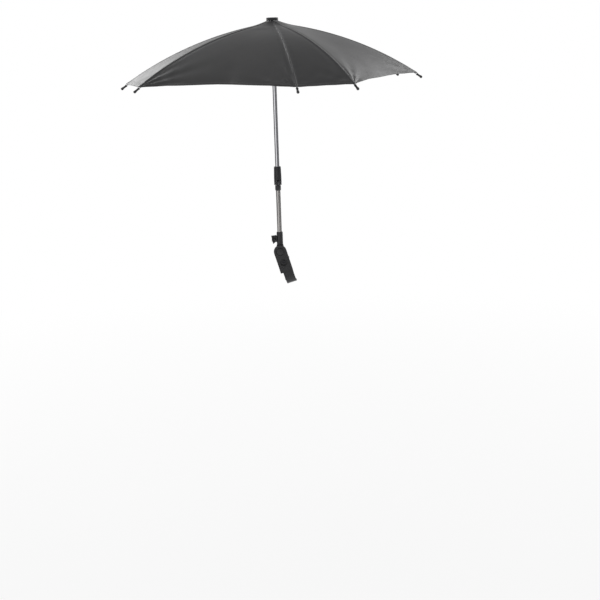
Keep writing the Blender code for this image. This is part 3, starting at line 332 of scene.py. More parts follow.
def newGroup(name, inputs, outputs):
    # inputs: name and default, outputs: names; all are plain numbers unless the default is a vector
    group = bpy.data.node_groups.new(name, "ShaderNodeTree")
    for label, default in inputs:
        kind = "NodeSocketVector" if isinstance(default, tuple) else "NodeSocketFloat"
        socket = group.interface.new_socket(label, in_out="INPUT", socket_type=kind)
        socket.default_value = default
    for label in outputs:
        group.interface.new_socket(label, in_out="OUTPUT", socket_type="NodeSocketFloat")
    source = group.nodes.new("NodeGroupInput")
    sink = group.nodes.new("NodeGroupOutput")
    return group, source.outputs, sink.inputs


def use(tree, group, **inputs):
    node = tree.nodes.new("ShaderNodeGroup")
    node.node_tree = group
    for key, value in inputs.items():
        join(tree, node.inputs[key], value)
    return node.outputs


buildStudio()
print("studio built")


# Effects that several finishes share
def edgeWearGroup():
    # Lighter where an edge is rubbed: the rounded normal leaves the true one
    group, given, out = newGroup(
        "edgeWear", (("Radius", 0.0006), ("Amount", 1.0), ("Patchiness", 0.5)), ("Mask",))
    rounded = place(group, "ShaderNodeBevel", {"samples": 6}, Radius=given["Radius"])
    true = place(group, "ShaderNodeNewGeometry")
    near = place(group, "ShaderNodeVectorMath", {"operation": "DOT_PRODUCT"})
    group.links.new(rounded.outputs[0], near.inputs[0])
    group.links.new(true.outputs["Normal"], near.inputs[1])
    bend = calc(group, "SUBTRACT", 1.0, near.outputs["Value"])
    edge = calc(group, "MULTIPLY", bend, 6.0)  # full where the two are about 34 degrees apart
    patches = noiseOf(group, objectSpace(group), 260.0, 2.0)
    kept = calc(group, "SUBTRACT", 1.0, calc(group, "MULTIPLY", patches, given["Patchiness"]))
    mask = calc(group, "MULTIPLY", calc(group, "MULTIPLY", edge, kept), given["Amount"])
    limit = place(group, "ShaderNodeClamp", Value=mask)
    group.links.new(limit.outputs[0], out["Mask"])
    return group


def mouldGrainGroup():
    # Fine spark-eroded grain and slow mottling of a moulded surface
    group, given, out = newGroup(
        "mouldGrain", (("Scale", 1400.0), ("Mottle Scale", 60.0)), ("Height", "Mottle"))
    where = objectSpace(group)
    group.links.new(noiseOf(group, where, given["Scale"], 3.0), out["Height"])
    group.links.new(noiseOf(group, where, given["Mottle Scale"], 4.0), out["Mottle"])
    return group


def drawLinesGroup():
    # Lines left along a drawn tube or wire, with slow smudges over them
    group, given, out = newGroup(
        "drawLines", (("Fineness", 2600.0), ("Stretch", 0.02), ("Smudge Scale", 45.0)),
        ("Lines", "Smudges"))
    where = objectSpace(group)
    squeeze = place(group, "ShaderNodeCombineXYZ", X=1.0, Y=1.0, Z=given["Stretch"])
    along = place(group, "ShaderNodeVectorMath", {"operation": "MULTIPLY"})
    group.links.new(where, along.inputs[0])
    group.links.new(squeeze.outputs[0], along.inputs[1])
    group.links.new(noiseOf(group, along.outputs[0], given["Fineness"], 2.0), out["Lines"])
    group.links.new(noiseOf(group, where, given["Smudge Scale"], 5.0), out["Smudges"])
    return group


def plainWeaveGroup():
    # Warp over weft, from distances across and along the cloth in metres
    group, given, out = newGroup(
        "plainWeave", (("Across", 0.0), ("Along", 0.0), ("Thread", 0.0004)), ("Height",))
    waves = []
    for side in ("Across", "Along"):
        turns = calc(group, "MULTIPLY", calc(group, "DIVIDE", given[side], given["Thread"]), math.pi)
        waves.append(calc(group, "SINE", turns))
    group.links.new(calc(group, "ABSOLUTE", calc(group, "MULTIPLY", *waves)), out["Height"])
    return group


def stitchesGroup():
    # One row of stitches at a distance from a line, in metres
    group, given, out = newGroup(
        "stitches",
        (("Distance", 0.0), ("Along", 0.0), ("Offset", 0.001), ("Width", 0.0006), ("Pitch", 0.003)),
        ("Mask",))
    off = calc(group, "ABSOLUTE", calc(
        group, "SUBTRACT", calc(group, "ABSOLUTE", given["Distance"]), given["Offset"]))
    line = calc(group, "LESS_THAN", off, calc(group, "MULTIPLY", given["Width"], 0.5))
    step = calc(group, "FRACT", calc(group, "DIVIDE", given["Along"], given["Pitch"]))
    thread = calc(group, "LESS_THAN", step, 0.78)  # the rest of the pitch is the gap between stitches
    group.links.new(calc(group, "MULTIPLY", line, thread), out["Mask"])
    return group


edgeWear = edgeWearGroup()
mouldGrain = mouldGrainGroup()
drawLines = drawLinesGroup()
plainWeave = plainWeaveGroup()
stitches = stitchesGroup()


# Finishes, one function each, named for what they finish
def between(tree, value, results):
    return ramp(tree, value, (0.25, 0.75), results)  # noise seldom leaves this span


def rubSurface(tree, shader, look, slow, toned, radius):
    # Tone and gloss that change slowly, and paler edges where they are rubbed
    worn = use(tree, edgeWear, Radius=radius, Amount=look["wear"])
    body = blendColour(tree, slow, look["colour"], toned)
    join(tree, shader.inputs["Base Color"], blendColour(tree, worn["Mask"], body, look["wornColour"]))
    join(tree, shader.inputs["Roughness"], between(tree, slow, look["roughness"]))


def mouldedPlastic(name, look):
    material, tree, shader = newFinish(name)
    grain = use(tree, mouldGrain, **{"Scale": look["grainScale"], "Mottle Scale": 55.0})
    rubSurface(tree, shader, look, grain["Mottle"], look["faded"], look["wearRadius"])
    addBump(tree, shader, grain["Height"], look["grain"], 0.0001)
    return material


def metal(name, look):
    material, tree, shader = newFinish(name)
    drawn = use(tree, drawLines, **{"Fineness": look["lineFineness"], "Stretch": look["stretch"]})
    rubSurface(tree, shader, look, drawn["Smudges"], look["smudged"], 0.0003)
    shader.inputs["Metallic"].default_value = 1.0
    addBump(tree, shader, drawn["Lines"], look["lines"], 0.00001)
    return material


cloth = {
    "colour": (0.026, 0.026, 0.027),
    "paler": (0.037, 0.037, 0.0385),
    # the colour of the painted shade that darkens the cloth beside each seam
    "seamShadeColour": (0.020, 0.020, 0.021),
    "thread": (0.125, 0.125, 0.128),
    "roughness": (0.42, 0.52),
    "toneShare": 0.45,  # of the paler colour, by tone, slubs and weave
    "slubShare": 0.30,
    "weaveShare": 0.30,
    "threadSize": 0.00042,
    "weaveDepth": 0.05,
    "weaveRise": 0.00003,
    "stitchRise": 1.5,  # times the weave's
    "seamStitch": 0.0012,  # from the seam to each row of stitches
    "hemStitch": 0.0065,  # from the edge to the hem's row
    "seamShade": 0.004,
    "seamDark": 0.7,
    "sheen": 0.14,
    "sheenRoughness": 0.30,
}


def sewnCloth():
    material, tree, shader = newFinish("coverCloth")
    panel = place(tree, "ShaderNodeUVMap", {"uv_map": "panel"})
    seam = place(tree, "ShaderNodeUVMap", {"uv_map": "seam"})
    onPanel = place(tree, "ShaderNodeSeparateXYZ", Vector=panel.outputs[0]).outputs
    onSeam = place(tree, "ShaderNodeSeparateXYZ", Vector=seam.outputs[0]).outputs
    weave = use(tree, plainWeave, Across=onPanel["X"], Along=onPanel["Y"], Thread=cloth["threadSize"])
    seamRow = use(
        tree, stitches, Distance=onSeam["X"], Along=onSeam["Y"], Offset=cloth["seamStitch"])
    hemRow = use(
        tree, stitches, Distance=onSeam["Y"], Along=onPanel["X"], Offset=cloth["hemStitch"])
    sewn = calc(tree, "MAXIMUM", seamRow["Mask"], hemRow["Mask"])

    where = objectSpace(tree)
    tone = noiseOf(tree, where, 11.0, 5.0)
    slub = noiseOf(tree, where, 420.0, 2.0)
    mixed = calc(
        tree, "MULTIPLY_ADD", slub, cloth["slubShare"], calc(tree, "MULTIPLY", tone, cloth["toneShare"]))
    mixed = calc(tree, "MULTIPLY_ADD", weave["Height"], cloth["weaveShare"], mixed)
    body = blendColour(tree, mixed, cloth["colour"], cloth["paler"])
    # Painted shade: the cloth darkens towards each seam, within seamShade of it
    away = calc(tree, "ABSOLUTE", onSeam["X"])
    shaded = ramp(tree, away, (0.0, cloth["seamShade"]), (cloth["seamDark"], 0.0))
    body = blendColour(tree, shaded, body, cloth["seamShadeColour"])
    join(tree, shader.inputs["Base Color"], blendColour(tree, sewn, body, cloth["thread"]))
    join(tree, shader.inputs["Roughness"], between(tree, tone, cloth["roughness"]))
    shader.inputs["Sheen Weight"].default_value = cloth["sheen"]
    shader.inputs["Sheen Roughness"].default_value = cloth["sheenRoughness"]
    height = calc(tree, "ADD", weave["Height"], calc(tree, "MULTIPLY", sewn, cloth["stitchRise"]))
    addBump(tree, shader, height, cloth["weaveDepth"], cloth["weaveRise"])
    return material


finishes = {
    "black_plastic": mouldedPlastic("blackPlastic", {
        "colour": (0.017, 0.017, 0.019), "faded": (0.026, 0.026, 0.028),
        "wornColour": (0.085, 0.085, 0.09), "wear": 0.5, "wearRadius": 0.0005,
        "roughness": (0.34, 0.46), "grain": 0.12, "grainScale": 1500.0}),
    "soft_black": mouldedPlastic("softBlack", {
        "colour": (0.013, 0.013, 0.014), "faded": (0.021, 0.021, 0.022),
        "wornColour": (0.06, 0.06, 0.062), "wear": 0.35, "wearRadius": 0.0006,
        "roughness": (0.52, 0.64), "grain": 0.22, "grainScale": 1100.0}),
    "grip_rubber": mouldedPlastic("gripRubber", {
        "colour": (0.012, 0.012, 0.012), "faded": (0.019, 0.019, 0.019),
        "wornColour": (0.035, 0.035, 0.035), "wear": 0.3, "wearRadius": 0.0004,
        "roughness": (0.70, 0.85), "grain": 0.35, "grainScale": 800.0}),
    "bright_chrome": metal("brightChrome", {
        "colour": (0.80, 0.80, 0.82), "smudged": (0.74, 0.74, 0.77),
        "wornColour": (0.86, 0.86, 0.87), "wear": 0.3, "roughness": (0.08, 0.15),
        "lines": 0.04, "lineFineness": 2600.0, "stretch": 0.01}),
    "satin_chrome": metal("satinChrome", {
        "colour": (0.53, 0.515, 0.50), "smudged": (0.45, 0.435, 0.425),
        "wornColour": (0.66, 0.65, 0.64), "wear": 0.3, "roughness": (0.20, 0.28),
        "lines": 0.03, "lineFineness": 2200.0, "stretch": 0.01}),
    "plated_steel": metal("platedSteel", {
        "colour": (0.56, 0.56, 0.58), "smudged": (0.46, 0.46, 0.48),
        "wornColour": (0.66, 0.66, 0.67), "wear": 0.4, "roughness": (0.26, 0.38),
        "lines": 0.2, "lineFineness": 1800.0, "stretch": 0.2}),
    "cover_cloth": sewnCloth(),
}
darkSteel = metal("blackenedSteel", {
    "colour": (0.050, 0.050, 0.054), "smudged": (0.036, 0.036, 0.039),
    "wornColour": (0.16, 0.16, 0.17), "wear": 0.5, "roughness": (0.34, 0.46),
    "lines": 0.1, "lineFineness": 1800.0, "stretch": 0.3})
darkNodes = ("clamp_screw", "cap_screw")
print("finishes made:", len(finishes))

# The CAD pieces keep their shapes: seams of the mesh are welded, edges eased, and each gets its finish
easing = {
    "weld": 0.000005,
    "angle": 32.0,
    "widths": {"black_plastic": 0.00025, "soft_black": 0.0003, "grip_rubber": 0.00015},
    "otherWidth": 0.00008,
    "segments": 2,
}


def easeEdges(piece, width, segments=3):
    shadeSmooth(piece)
    bevel = piece.modifiers.new("easedEdges", "BEVEL")
    bevel.width = width
    bevel.segments = segments
    bevel.limit_method = "ANGLE"
    bevel.angle_limit = math.radians(easing["angle"])
    bevel.harden_normals = True


def dressNode(name, slot):
    thing = nodes[name]
    thing.data.materials.clear()
    thing.data.materials.append(darkSteel if name in darkNodes else finishes[slot])
    kept = thing.data.attributes.get("custom_normal")
    if kept:
        thing.data.attributes.remove(kept)
    weld = thing.modifiers.new("weld", "WELD")
    weld.merge_threshold = easing["weld"]
    easeEdges(thing, easing["widths"].get(slot, easing["otherWidth"]), easing["segments"])


for subpart in frame["record"]["subparts"]:
    dressNode(subpart["node"], subpart["material_slot"])
print("CAD pieces dressed")

# Wing screw: a flag-shaped grip close beside the socket, in place of the plain CAD one
wing = {
    "height": 0.0285,  # of its axis above the tilt bolt
    "inner": -0.0093,  # outward from the rod's axis
    "outer": -0.0208,
    "top": 0.0103,
    "topDrop": 0.0014,  # of the top edge towards its outer end
    "bottom": -0.0112,
    "footIn": 0.0041,  # the foot of the outer edge lies this far in
    "footRise": 0.0058,
    "halfThick": 0.0021,
    "ease": 0.0005,
    "hubRadius": 0.0034,
    "hubLength": 0.0062,
    "stemRadius": 0.0019,
    "stemEnd": -0.0060,
    "stemInHub": 0.001,
    "gripRidges": 4,
    "ridgeRadius": 0.0005,
    "ridgeIn": 0.0016,  # of the first from the outer edge
    "ridgePitch": 0.0014,
    "ridgeTop": 0.0072,
    "ridgeFoot": -0.0062,  # where the grip's foot is cut away
    "ridgeRise": 0.0020,  # of the others above the bottom, and more for each one
    "ridgeStep": 0.0006,
    "ridgeClear": 0.0004,
}
screwPad = {
    "inside": -0.0066,
    "face": -0.0091,
    "low": -0.0066,
    "high": 0.0100,
    "hole": 0.00465,
    "beside": 0.001085,  # its width at the hole's sides
    "corner": 0.55,
    "sides": 48,
    "ease": 0.0004,
}


def barAlong(bm, start, end, radius, sides, tip=0.35):
    # A round bar with eased ends
    start, end = Vector(start), Vector(end)
    run = (end - start).normalized()
    side = run.orthogonal().normalized()
    up = run.cross(side)
    length = (end - start).length
    ease = radius * tip
    stations = ((0.0, radius - ease), (ease * 0.3, radius - ease * 0.3), (ease, radius))
    stations += tuple((length - d, r) for d, r in reversed(stations))
    rings = []
    for distance, reach in stations:
        centre = start + run * distance
        rings.append([bm.verts.new(centre + (side * c + up * s) * reach) for c, s in around(sides)])
    bridgeRings(bm, rings)
    bm.faces.new(reversed(rings[0]))
    bm.faces.new(rings[-1])


def buildWing():
    tilt = Vector(joints["socket_tilt"]["pos_m"])
    origin = Vector((tilt.x, tilt.y, tilt.z + wing["height"]))
    near, far, thick = wing["inner"], wing["outer"], wing["halfThick"]
    outline = [
        (near, wing["top"]), (far, wing["top"] - wing["topDrop"]),
        (far + wing["footIn"], wing["bottom"]), (near, wing["bottom"] + wing["footRise"])]
    bm = bmesh.new()
    rings = [[bm.verts.new(origin + Vector((x, y, z))) for x, z in outline] for y in (-thick, thick)]
    bridgeRings(bm, rings)
    bm.faces.new(reversed(rings[0]))
    bm.faces.new(rings[1])

    def addBar(start, end, *form):
        barAlong(bm, origin + Vector(start), origin + Vector(end), *form)

    addBar((near, 0, 0), (near - wing["hubLength"], 0, 0), wing["hubRadius"], 32)
    addBar((near - wing["stemInHub"], 0, 0), (wing["stemEnd"], 0, 0), wing["stemRadius"], 20)
    for y in (-thick, thick):
        for k in range(wing["gripRidges"]):
            x = far + wing["ridgeIn"] + wing["ridgePitch"] * k
            low = wing["ridgeFoot"]
            if x > far + wing["footIn"]:
                low = wing["bottom"] + wing["ridgeRise"] + wing["ridgeStep"] * k
            addBar((x, y, low + wing["ridgeClear"]), (x, y, wing["ridgeTop"]), wing["ridgeRadius"], 10, 0.8)
    piece = solidObject("wing_grip", bm)
    easeEdges(piece, wing["ease"])
    piece.data.materials.append(finishes["soft_black"])
    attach(piece, bodyOf["wing_screw"])
    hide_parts("wing_screw")
    return origin


def buildPad(origin):
    # A pad on the socket round the screw's boss, which the wing's edge runs along
    bm = bmesh.new()
    hole, wide = screwPad["hole"], screwPad["hole"] + screwPad["beside"]
    loops = []
    for x in (screwPad["inside"], screwPad["face"]):
        inner, outer = [], []
        for c, s in around(screwPad["sides"]):
            inner.append(bm.verts.new(origin + Vector((x, c * hole, s * hole))))
            tall = screwPad["high"] if s > 0 else -screwPad["low"]
            outer.append(bm.verts.new(origin + Vector((
                x, squared(c, screwPad["corner"]) * wide, squared(s, screwPad["corner"]) * tall))))
        loops.append((inner, outer))
    (innerInside, outerInside), (innerFace, outerFace) = loops
    bridgeRings(bm, [outerInside, outerFace, innerFace, innerInside], closed=True)
    piece = solidObject("screw_pad", bm)
    easeEdges(piece, screwPad["ease"])
    piece.data.materials.append(finishes["black_plastic"])
    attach(piece, bodyOf["rod_socket"])


buildPad(buildWing())
print("wing screw built")

# Cap on the crown: a flat disc with a rolled edge and a well for its screw
cap = {
    "sides": 96,
    "ease": 0.0002,
    # radius and height over the cloth
    "profile": (
        (0.0023, 0.0), (0.0130, 0.0), (0.0137, 0.0003), (0.0140, 0.0010), (0.0140, 0.0032),
        (0.01375, 0.0034), (0.01375, 0.0037), (0.0140, 0.0039), (0.0140, 0.0060), (0.01375, 0.0068),
        (0.0131, 0.0073), (0.0120, 0.0075), (0.0090, 0.0077), (0.0062, 0.0077), (0.0056, 0.0074),
        (0.0054, 0.0068), (0.0054, 0.0042), (0.0023, 0.0042)),
}


def turnedPiece(name, profile, base, sides, direction=(0, 0, 1), closed=True):
    # Points of radius and height, turned round an axis from its base
    bm = bmesh.new()
    turn = Vector((0, 0, 1)).rotation_difference(Vector(direction).normalized()).to_matrix()
    rings = []
    for radius, height in profile:
        spots = around(sides) if radius else [(0, 0)]
        rings.append([
            bm.verts.new(Vector(base) + turn @ Vector((radius * c, radius * s, height)))
            for c, s in spots])
    bridgeRings(bm, rings, closed)
    return solidObject(name, bm)


def buildCap():
    low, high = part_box("top_cap")
    base = Vector(((low.x + high.x) / 2, (low.y + high.y) / 2, low.z))
    piece = turnedPiece("crown_cap", cap["profile"], base, cap["sides"])
    easeEdges(piece, cap["ease"], 2)
    piece.data.materials.append(finishes["black_plastic"])
    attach(piece, bodyOf["top_cap"])
    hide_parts("top_cap")


buildCap()
print("cap built")

# Canopy: eight gores sewn together over the ribs
canopy = {
    "ribs": 8,
    "tipRadius": 0.360,
    "rise": 0.136,  # from the rib ends up to the hinges
    "bow": 0.0225,  # of a rib above its chord
    "aboveRib": 0.0026,  # from the rib's centre line up to the cloth's underside
    "capRadius": 0.0140,
    "crownFlat": 0.0075,  # the cloth's height over the hinges, under the cap
    "holeRadius": 0.0030,
    "tipCap": 0.0166,  # the rib's end that the cloth leaves bare
    "flare": 0.040,
    "roundFrom": 0.012,
    "roundOver": 0.060,
    "sag": 0.0040,
    "sagRatio": 10,  # of the sag at the hem to the sag at the crown
    "sagPower": 0.8,
    "scallop": 0.0090,
    "scallopPower": 6,
    "hemLift": 0.45,
    "underside": 0.00030,  # the cloth's two faces, above the CAD solid's underside
    "topside": 0.00075,
    "hemWidth": 0.0085,
    "hemExtra": 0.00030,
    "hemFold": 0.0004,  # half the run of rows in which the hem's thickness begins
    "edgeRow": 0.001,
    "merge": 0.00002,  # mesh points closer than this become one
    "rows": 62,
    "crownZone": 0.022,  # rows lie closer up to here
    "crownRows": 16,
}


def setUpRibs():
    ribs = []
    for number in range(1, canopy["ribs"] + 1):
        joint = joints[f"rib_{number}_fold"]
        side = Vector(joint["axis"]).normalized()
        ribs.append({
            "number": number,
            "body": f"rib_body_{number}",
            "hinge": Vector(joint["pos_m"]),
            "side": side,
            "out": Vector((side.y, -side.x, 0)),
            "azimuth": math.atan2(side.y, side.x) % math.tau,
            "fold": math.radians(joint["range_deg"][1]),
        })
    return ribs


ribs = setUpRibs()
crownMiddle = sum((rib["hinge"] for rib in ribs), Vector()) / len(ribs)
hingeRadius = (ribs[0]["hinge"] - crownMiddle).length
chord = math.hypot(canopy["tipRadius"] - hingeRadius, canopy["rise"])
halfAngle = 2 * math.atan(2 * canopy["bow"] / chord)
arcRadius = chord / (2 * math.sin(halfAngle))
ribLength = 2 * halfAngle * arcRadius
firstSlope = math.atan2(canopy["rise"], canopy["tipRadius"] - hingeRadius) - halfAngle
clothStart = canopy["capRadius"] - hingeRadius
clothEnd = ribLength - canopy["tipCap"]


def slopeAt(along):
    return firstSlope + along / arcRadius


def ribPoint(along, above=0.0):
    # Outward and upward from the hinge, a distance along the rib's arc
    slope = slopeAt(along)
    out = arcRadius * (math.sin(slope) - math.sin(firstSlope)) + above * math.sin(slope)
    down = arcRadius * (math.cos(firstSlope) - math.cos(slope)) - above * math.cos(slope)
    return out, -down


def ribFrame(rib, along):
    # A point on a rib, and its outward and upward directions there
    out, up = ribPoint(along)
    slope = slopeAt(along)
    onward = rib["out"] * math.cos(slope) - Vector((0, 0, math.sin(slope)))
    upward = rib["out"] * math.sin(slope) + Vector((0, 0, math.cos(slope)))
    return rib["hinge"] + rib["out"] * out + Vector((0, 0, up)), onward, upward


def makePanels():
    # A gore lies between each rib and the next; wide and narrow ones take turns
    panels = []
    for index, rib in enumerate(ribs):
        after = ribs[(index + 1) % len(ribs)]
        turn = (after["azimuth"] - rib["azimuth"]) % math.tau
        panels.append({"first": rib, "last": after, "turn": turn, "wide": turn > math.radians(45)})
    return panels


panels = makePanels()

relief = {
    "ridge": 0.00045,  # the felled seam stands this proud
    "ridgeWidth": 0.0016,
    "valley": 0.0007,  # the cloth dips beside it
    "valleyAt": 0.0060,
    "valleyWidth": 0.0045,
    "settleOver": 0.05,  # dips and puckers grow from the cap over this distance
    "pucker": 0.00016,
    "puckerPitch": 0.024,
    "puckerReach": 0.008,
    "puckerFrom": 0.0015,
    "wander": 2.4,  # of the puckers, in radians, and how often it changes in a metre
    "wanderRate": 38,
    "cornerFold": 0.0012,  # tension folds that leave the rib ends
    "cornerReach": 0.085,
    "cornerClear": 0.012,
    "cornerSeam": 0.006,
    "cornerFolds": 5.0,
    "hemWave": 0.0009,
    "hemWavePitch": 0.047,
    "hemWaveReach": 0.030,
    "billow": 0.0008,
    "billowRate": 9,
    "narrowShare": 0.45,  # of a narrow gore's folds, beside a wide one's
}


def goreWidth(panel, along):
    # Straight across from rib to rib, in metres
    return 2 * (hingeRadius + ribPoint(along)[0]) * math.sin(panel["turn"] / 2)


def reliefAt(panel, along, share):
    away = min(share, 1 - share) * goreWidth(panel, along)
    rib, side = (panel["first"], 1) if share < 0.5 else (panel["last"], -1)
    phase = rib["number"] * 1.7 + side * 0.9  # so that no two sides look alike
    rise = relief["ridge"] * math.exp(-((away / relief["ridgeWidth"]) ** 4))
    dip = (away - relief["valleyAt"]) / relief["valleyWidth"]
    settled = min(1.0, (along - clothStart) / relief["settleOver"])
    rise -= relief["valley"] * math.exp(-dip * dip) * settled
    wobble = noise.noise(Vector((along * relief["wanderRate"], phase, 0.3)))
    ripple = math.sin(math.tau * along / relief["puckerPitch"] + phase + relief["wander"] * wobble)
    reach = (1 - math.exp(-away / relief["puckerFrom"])) * math.exp(-away / relief["puckerReach"])
    rise += relief["pucker"] * ripple * reach * settled * (0.6 + 0.8 * abs(wobble))

    toEdge = clothEnd - along
    corner = math.hypot(toEdge, away)
    angle = math.atan2(away, toEdge + 1e-9)
    fan = math.sin(2 * relief["cornerFolds"] * angle + phase)
    nearCorner = math.exp(-((corner / relief["cornerReach"]) ** 2))
    nearCorner *= 1 - math.exp(-corner / relief["cornerClear"])
    width = 1.0 if panel["wide"] else relief["narrowShare"]
    offSeam = 1 - math.exp(-away / relief["cornerSeam"])
    rise += relief["cornerFold"] * width * fan * nearCorner * offSeam

    across = (share - 0.5) * 2
    position = across * panel["turn"] * (hingeRadius + along) / 2
    wave = math.sin(math.tau * position / relief["hemWavePitch"] + phase)
    wave *= math.exp(-toEdge / relief["hemWaveReach"]) * (1 - across * across)
    rise += relief["hemWave"] * wave * width
    rate = relief["billowRate"]
    slow = noise.noise(Vector((along * rate, position * rate, panel["first"]["number"] * 3.1)))
    rise += relief["billow"] * slow * (1 - across * across) * settled * width
    return rise


def clothProfile(along, above):
    # Over a rib: flat under the cap, then down the rib. Out from the shaft, up from the hinges
    out, up = ribPoint(along, canopy["aboveRib"] + above)
    flare = canopy["crownFlat"] - ribPoint(clothStart, canopy["aboveRib"])[1]
    near = max(0.0, 1 - (along - clothStart) / canopy["flare"])
    return hingeRadius + out, up + flare * near ** 2


def clothPoint(panel, along, share, above):
    lift = above + reliefAt(panel, along, share)
    out, up = clothProfile(along, lift)
    first = panel["first"]["out"] * out
    last = panel["last"]["out"] * out
    straight = first.lerp(last, share)
    turned = Matrix.Rotation(panel["turn"] * share, 3, "Z") @ first
    flatness = limited((straight.length - canopy["roundFrom"]) / canopy["roundOver"])
    point = turned.lerp(straight, flatness) + Vector((0, 0, up))
    if panel["wide"]:
        slack = 4 * share * (1 - share)
        run = max(0.0, (along - clothStart) / (clothEnd - clothStart))
        ratio = canopy["sagRatio"]
        part = (1 + (ratio - 1) * run ** canopy["sagPower"]) / ratio
        inward = Vector((-point.x, -point.y, 0)).normalized()
        point += inward * (canopy["sag"] * slack * part)
        lifted = inward + Vector((0, 0, canopy["hemLift"]))
        point += lifted * (canopy["scallop"] * slack * part ** canopy["scallopPower"])
    return crownMiddle + point


def clothNormal(panel, along, share, above):
    step = 0.0004
    turnStep = step / max(0.01, panel["turn"] * (hingeRadius + along))
    low, high = max(0.0, share - turnStep), min(1.0, share + turnStep)
    across = clothPoint(panel, along, high, above) - clothPoint(panel, along, low, above)
    down = clothPoint(panel, along + step, share, above) - clothPoint(panel, along - step, share, above)
    return down.cross(across).normalized()


def rowPlaces():
    # Distances along the rib for the mesh rows: close under the cap and at the hem
    hem, fold = clothEnd - canopy["hemWidth"], canopy["hemFold"]
    zone, close = canopy["crownZone"], canopy["crownRows"]
    near = [clothStart + zone * step / close for step in range(close)]
    begin = clothStart + zone
    long = [begin + (hem - fold - begin) * step / canopy["rows"] for step in range(canopy["rows"] + 1)]
    edge = [hem + fold, clothEnd - canopy["hemWidth"] / 2, clothEnd - canopy["edgeRow"], clothEnd]
    return near + long + edge


rows = rowPlaces()


def hemThickness(along):
    return canopy["hemExtra"] if along > clothEnd - canopy["hemWidth"] else 0.0


def turnedHalfway(panel, out, up, share):
    # How far a point of the folded cloth stays from the plane halfway to the next rib
    turn = panel["turn"]
    straight = (out * (1 - share * (1 - math.cos(turn))), out * share * math.sin(turn))
    turned = (out * math.cos(share * turn), out * math.sin(share * turn))
    flatness = limited((math.hypot(*straight) - canopy["roundFrom"]) / canopy["roundOver"])
    radial = turned[0] + (straight[0] - turned[0]) * flatness
    across = turned[1] + (straight[1] - turned[1]) * flatness
    run = limited((radial - folding["blendFrom"]) / (folding["blendTo"] - folding["blendFrom"]))
    weight = run * run * (3 - 2 * run)
    fold = panel["first"]["fold"] * weight
    folded = hingeRadius + (radial - hingeRadius) * math.cos(fold) + up * math.sin(fold)
    return math.tan(turn / 2) * (folded - folding["seamGap"] * weight) - across


def foldedShare(panel, along):
    # How far across the gore the cloth stays with its rib when folded: there, it meets the cloth
    # of the next rib halfway between the two
    key = (panel["wide"], round(along, 7))
    if key not in foldedShares:
        out, up = clothProfile(along, canopy["underside"])
        low, high = 0.0, 0.5
        if turnedHalfway(panel, out, up, high) > -1e-7:
            low = high
        for halving in range(26):
            middle = (low + high) / 2
            if turnedHalfway(panel, out, up, middle) > 0:
                low = middle
            else:
                high = middle
        foldedShares[key] = low
    return foldedShares[key]


def gridPiece(name, body, grid, finish):
    # grid[row][column] is (panel, along, share); the piece gets two faces and walls round its edge
    bm = bmesh.new()
    normalLayer = bm.verts.layers.float_vector.new("clothNormal")
    wallLayer = bm.faces.layers.int.new("wall")
    panelLayer = bm.loops.layers.uv.new("panel")
    seamLayer = bm.loops.layers.uv.new("seam")
    layers = []
    for base, hemShare, facing in ((canopy["underside"], -0.5, -1), (canopy["topside"], 1, 1)):
        sheet = []
        for line in grid:
            made = []
            for spot in line:
                above = base + hemThickness(spot[1]) * hemShare
                vertex = bm.verts.new(clothPoint(*spot, above))
                vertex[normalLayer] = clothNormal(*spot, above) * facing
                made.append(vertex)
            sheet.append(made)
        layers.append(sheet)

    def tile(corners, places, wall=0):
        if len(set(corners)) < 3:
            return
        face = bm.faces.new(corners)
        face.smooth = not wall
        face[wallLayer] = wall
        middle = sum(place[2] for place in places) / len(places)
        for loop, (panel, along, share) in zip(face.loops, places):
            share = share if 0 < share < 1 else (0.0 if middle < 0.5 else 1.0)
            straight = goreWidth(panel, along)
            loop[panelLayer].uv = ((share - 0.5) * straight, along)
            loop[seamLayer].uv = (min(share, 1 - share) * straight, clothEnd - along)

    under, over = layers
    columns = len(grid[0])
    for row in range(len(grid) - 1):
        for column in range(columns - 1):
            spots = ((row, column), (row, column + 1), (row + 1, column + 1), (row + 1, column))
            places = [grid[r][c] for r, c in spots]
            # A strip's two sides lie in two gores, so a tile takes its gore from its middle
            inner = places[1][0] if column >= (columns - 1) / 2 else places[0][0]
            places = [samePlace(spot, inner) for spot in places]
            tile([over[r][c] for r, c in reversed(spots)], places[::-1])
            tile([under[r][c] for r, c in spots], places)
    rim = [(0, c) for c in range(columns)]
    rim += [(r, columns - 1) for r in range(1, len(grid))]
    rim += [(len(grid) - 1, c) for c in range(columns - 2, -1, -1)]
    rim += [(r, 0) for r in range(len(grid) - 2, 0, -1)]
    for (row, column), (nextRow, nextColumn) in zip(rim, rim[1:] + rim[:1]):
        corners = [under[row][column], over[row][column],
                   over[nextRow][nextColumn], under[nextRow][nextColumn]]
        inner = grid[row][column][0]
        first, last = samePlace(grid[row][column], inner), samePlace(grid[nextRow][nextColumn], inner)
        tile(corners, [first, first, last, last], wall=1)
    bmesh.ops.remove_doubles(bm, verts=bm.verts, dist=canopy["merge"])
    piece = solidObject(name, bm)
    setClothNormals(piece.data)
    piece.data.materials.append(finish)
    return piece


def samePlace(spot, panel):
    # The same point, told in the terms of the gore beside it where it lies on their seam
    own, along, share = spot
    if own is panel:
        return spot
    return panel, along, 0.0 if panel["first"] is own["last"] else 1.0


def setClothNormals(mesh):
    stored = mesh.attributes["clothNormal"].data
    walls = mesh.attributes["wall"].data
    wanted = [None] * len(mesh.loops)
    for polygon in mesh.polygons:
        wall = walls[polygon.index].value
        for index in polygon.loop_indices:
            vertex = mesh.loops[index].vertex_index
            wanted[index] = polygon.normal.copy() if wall else Vector(stored[vertex].vector)
    mesh.normals_split_custom_set(wanted)
    for label in ("clothNormal", "wall"):
        mesh.attributes.remove(mesh.attributes[label])


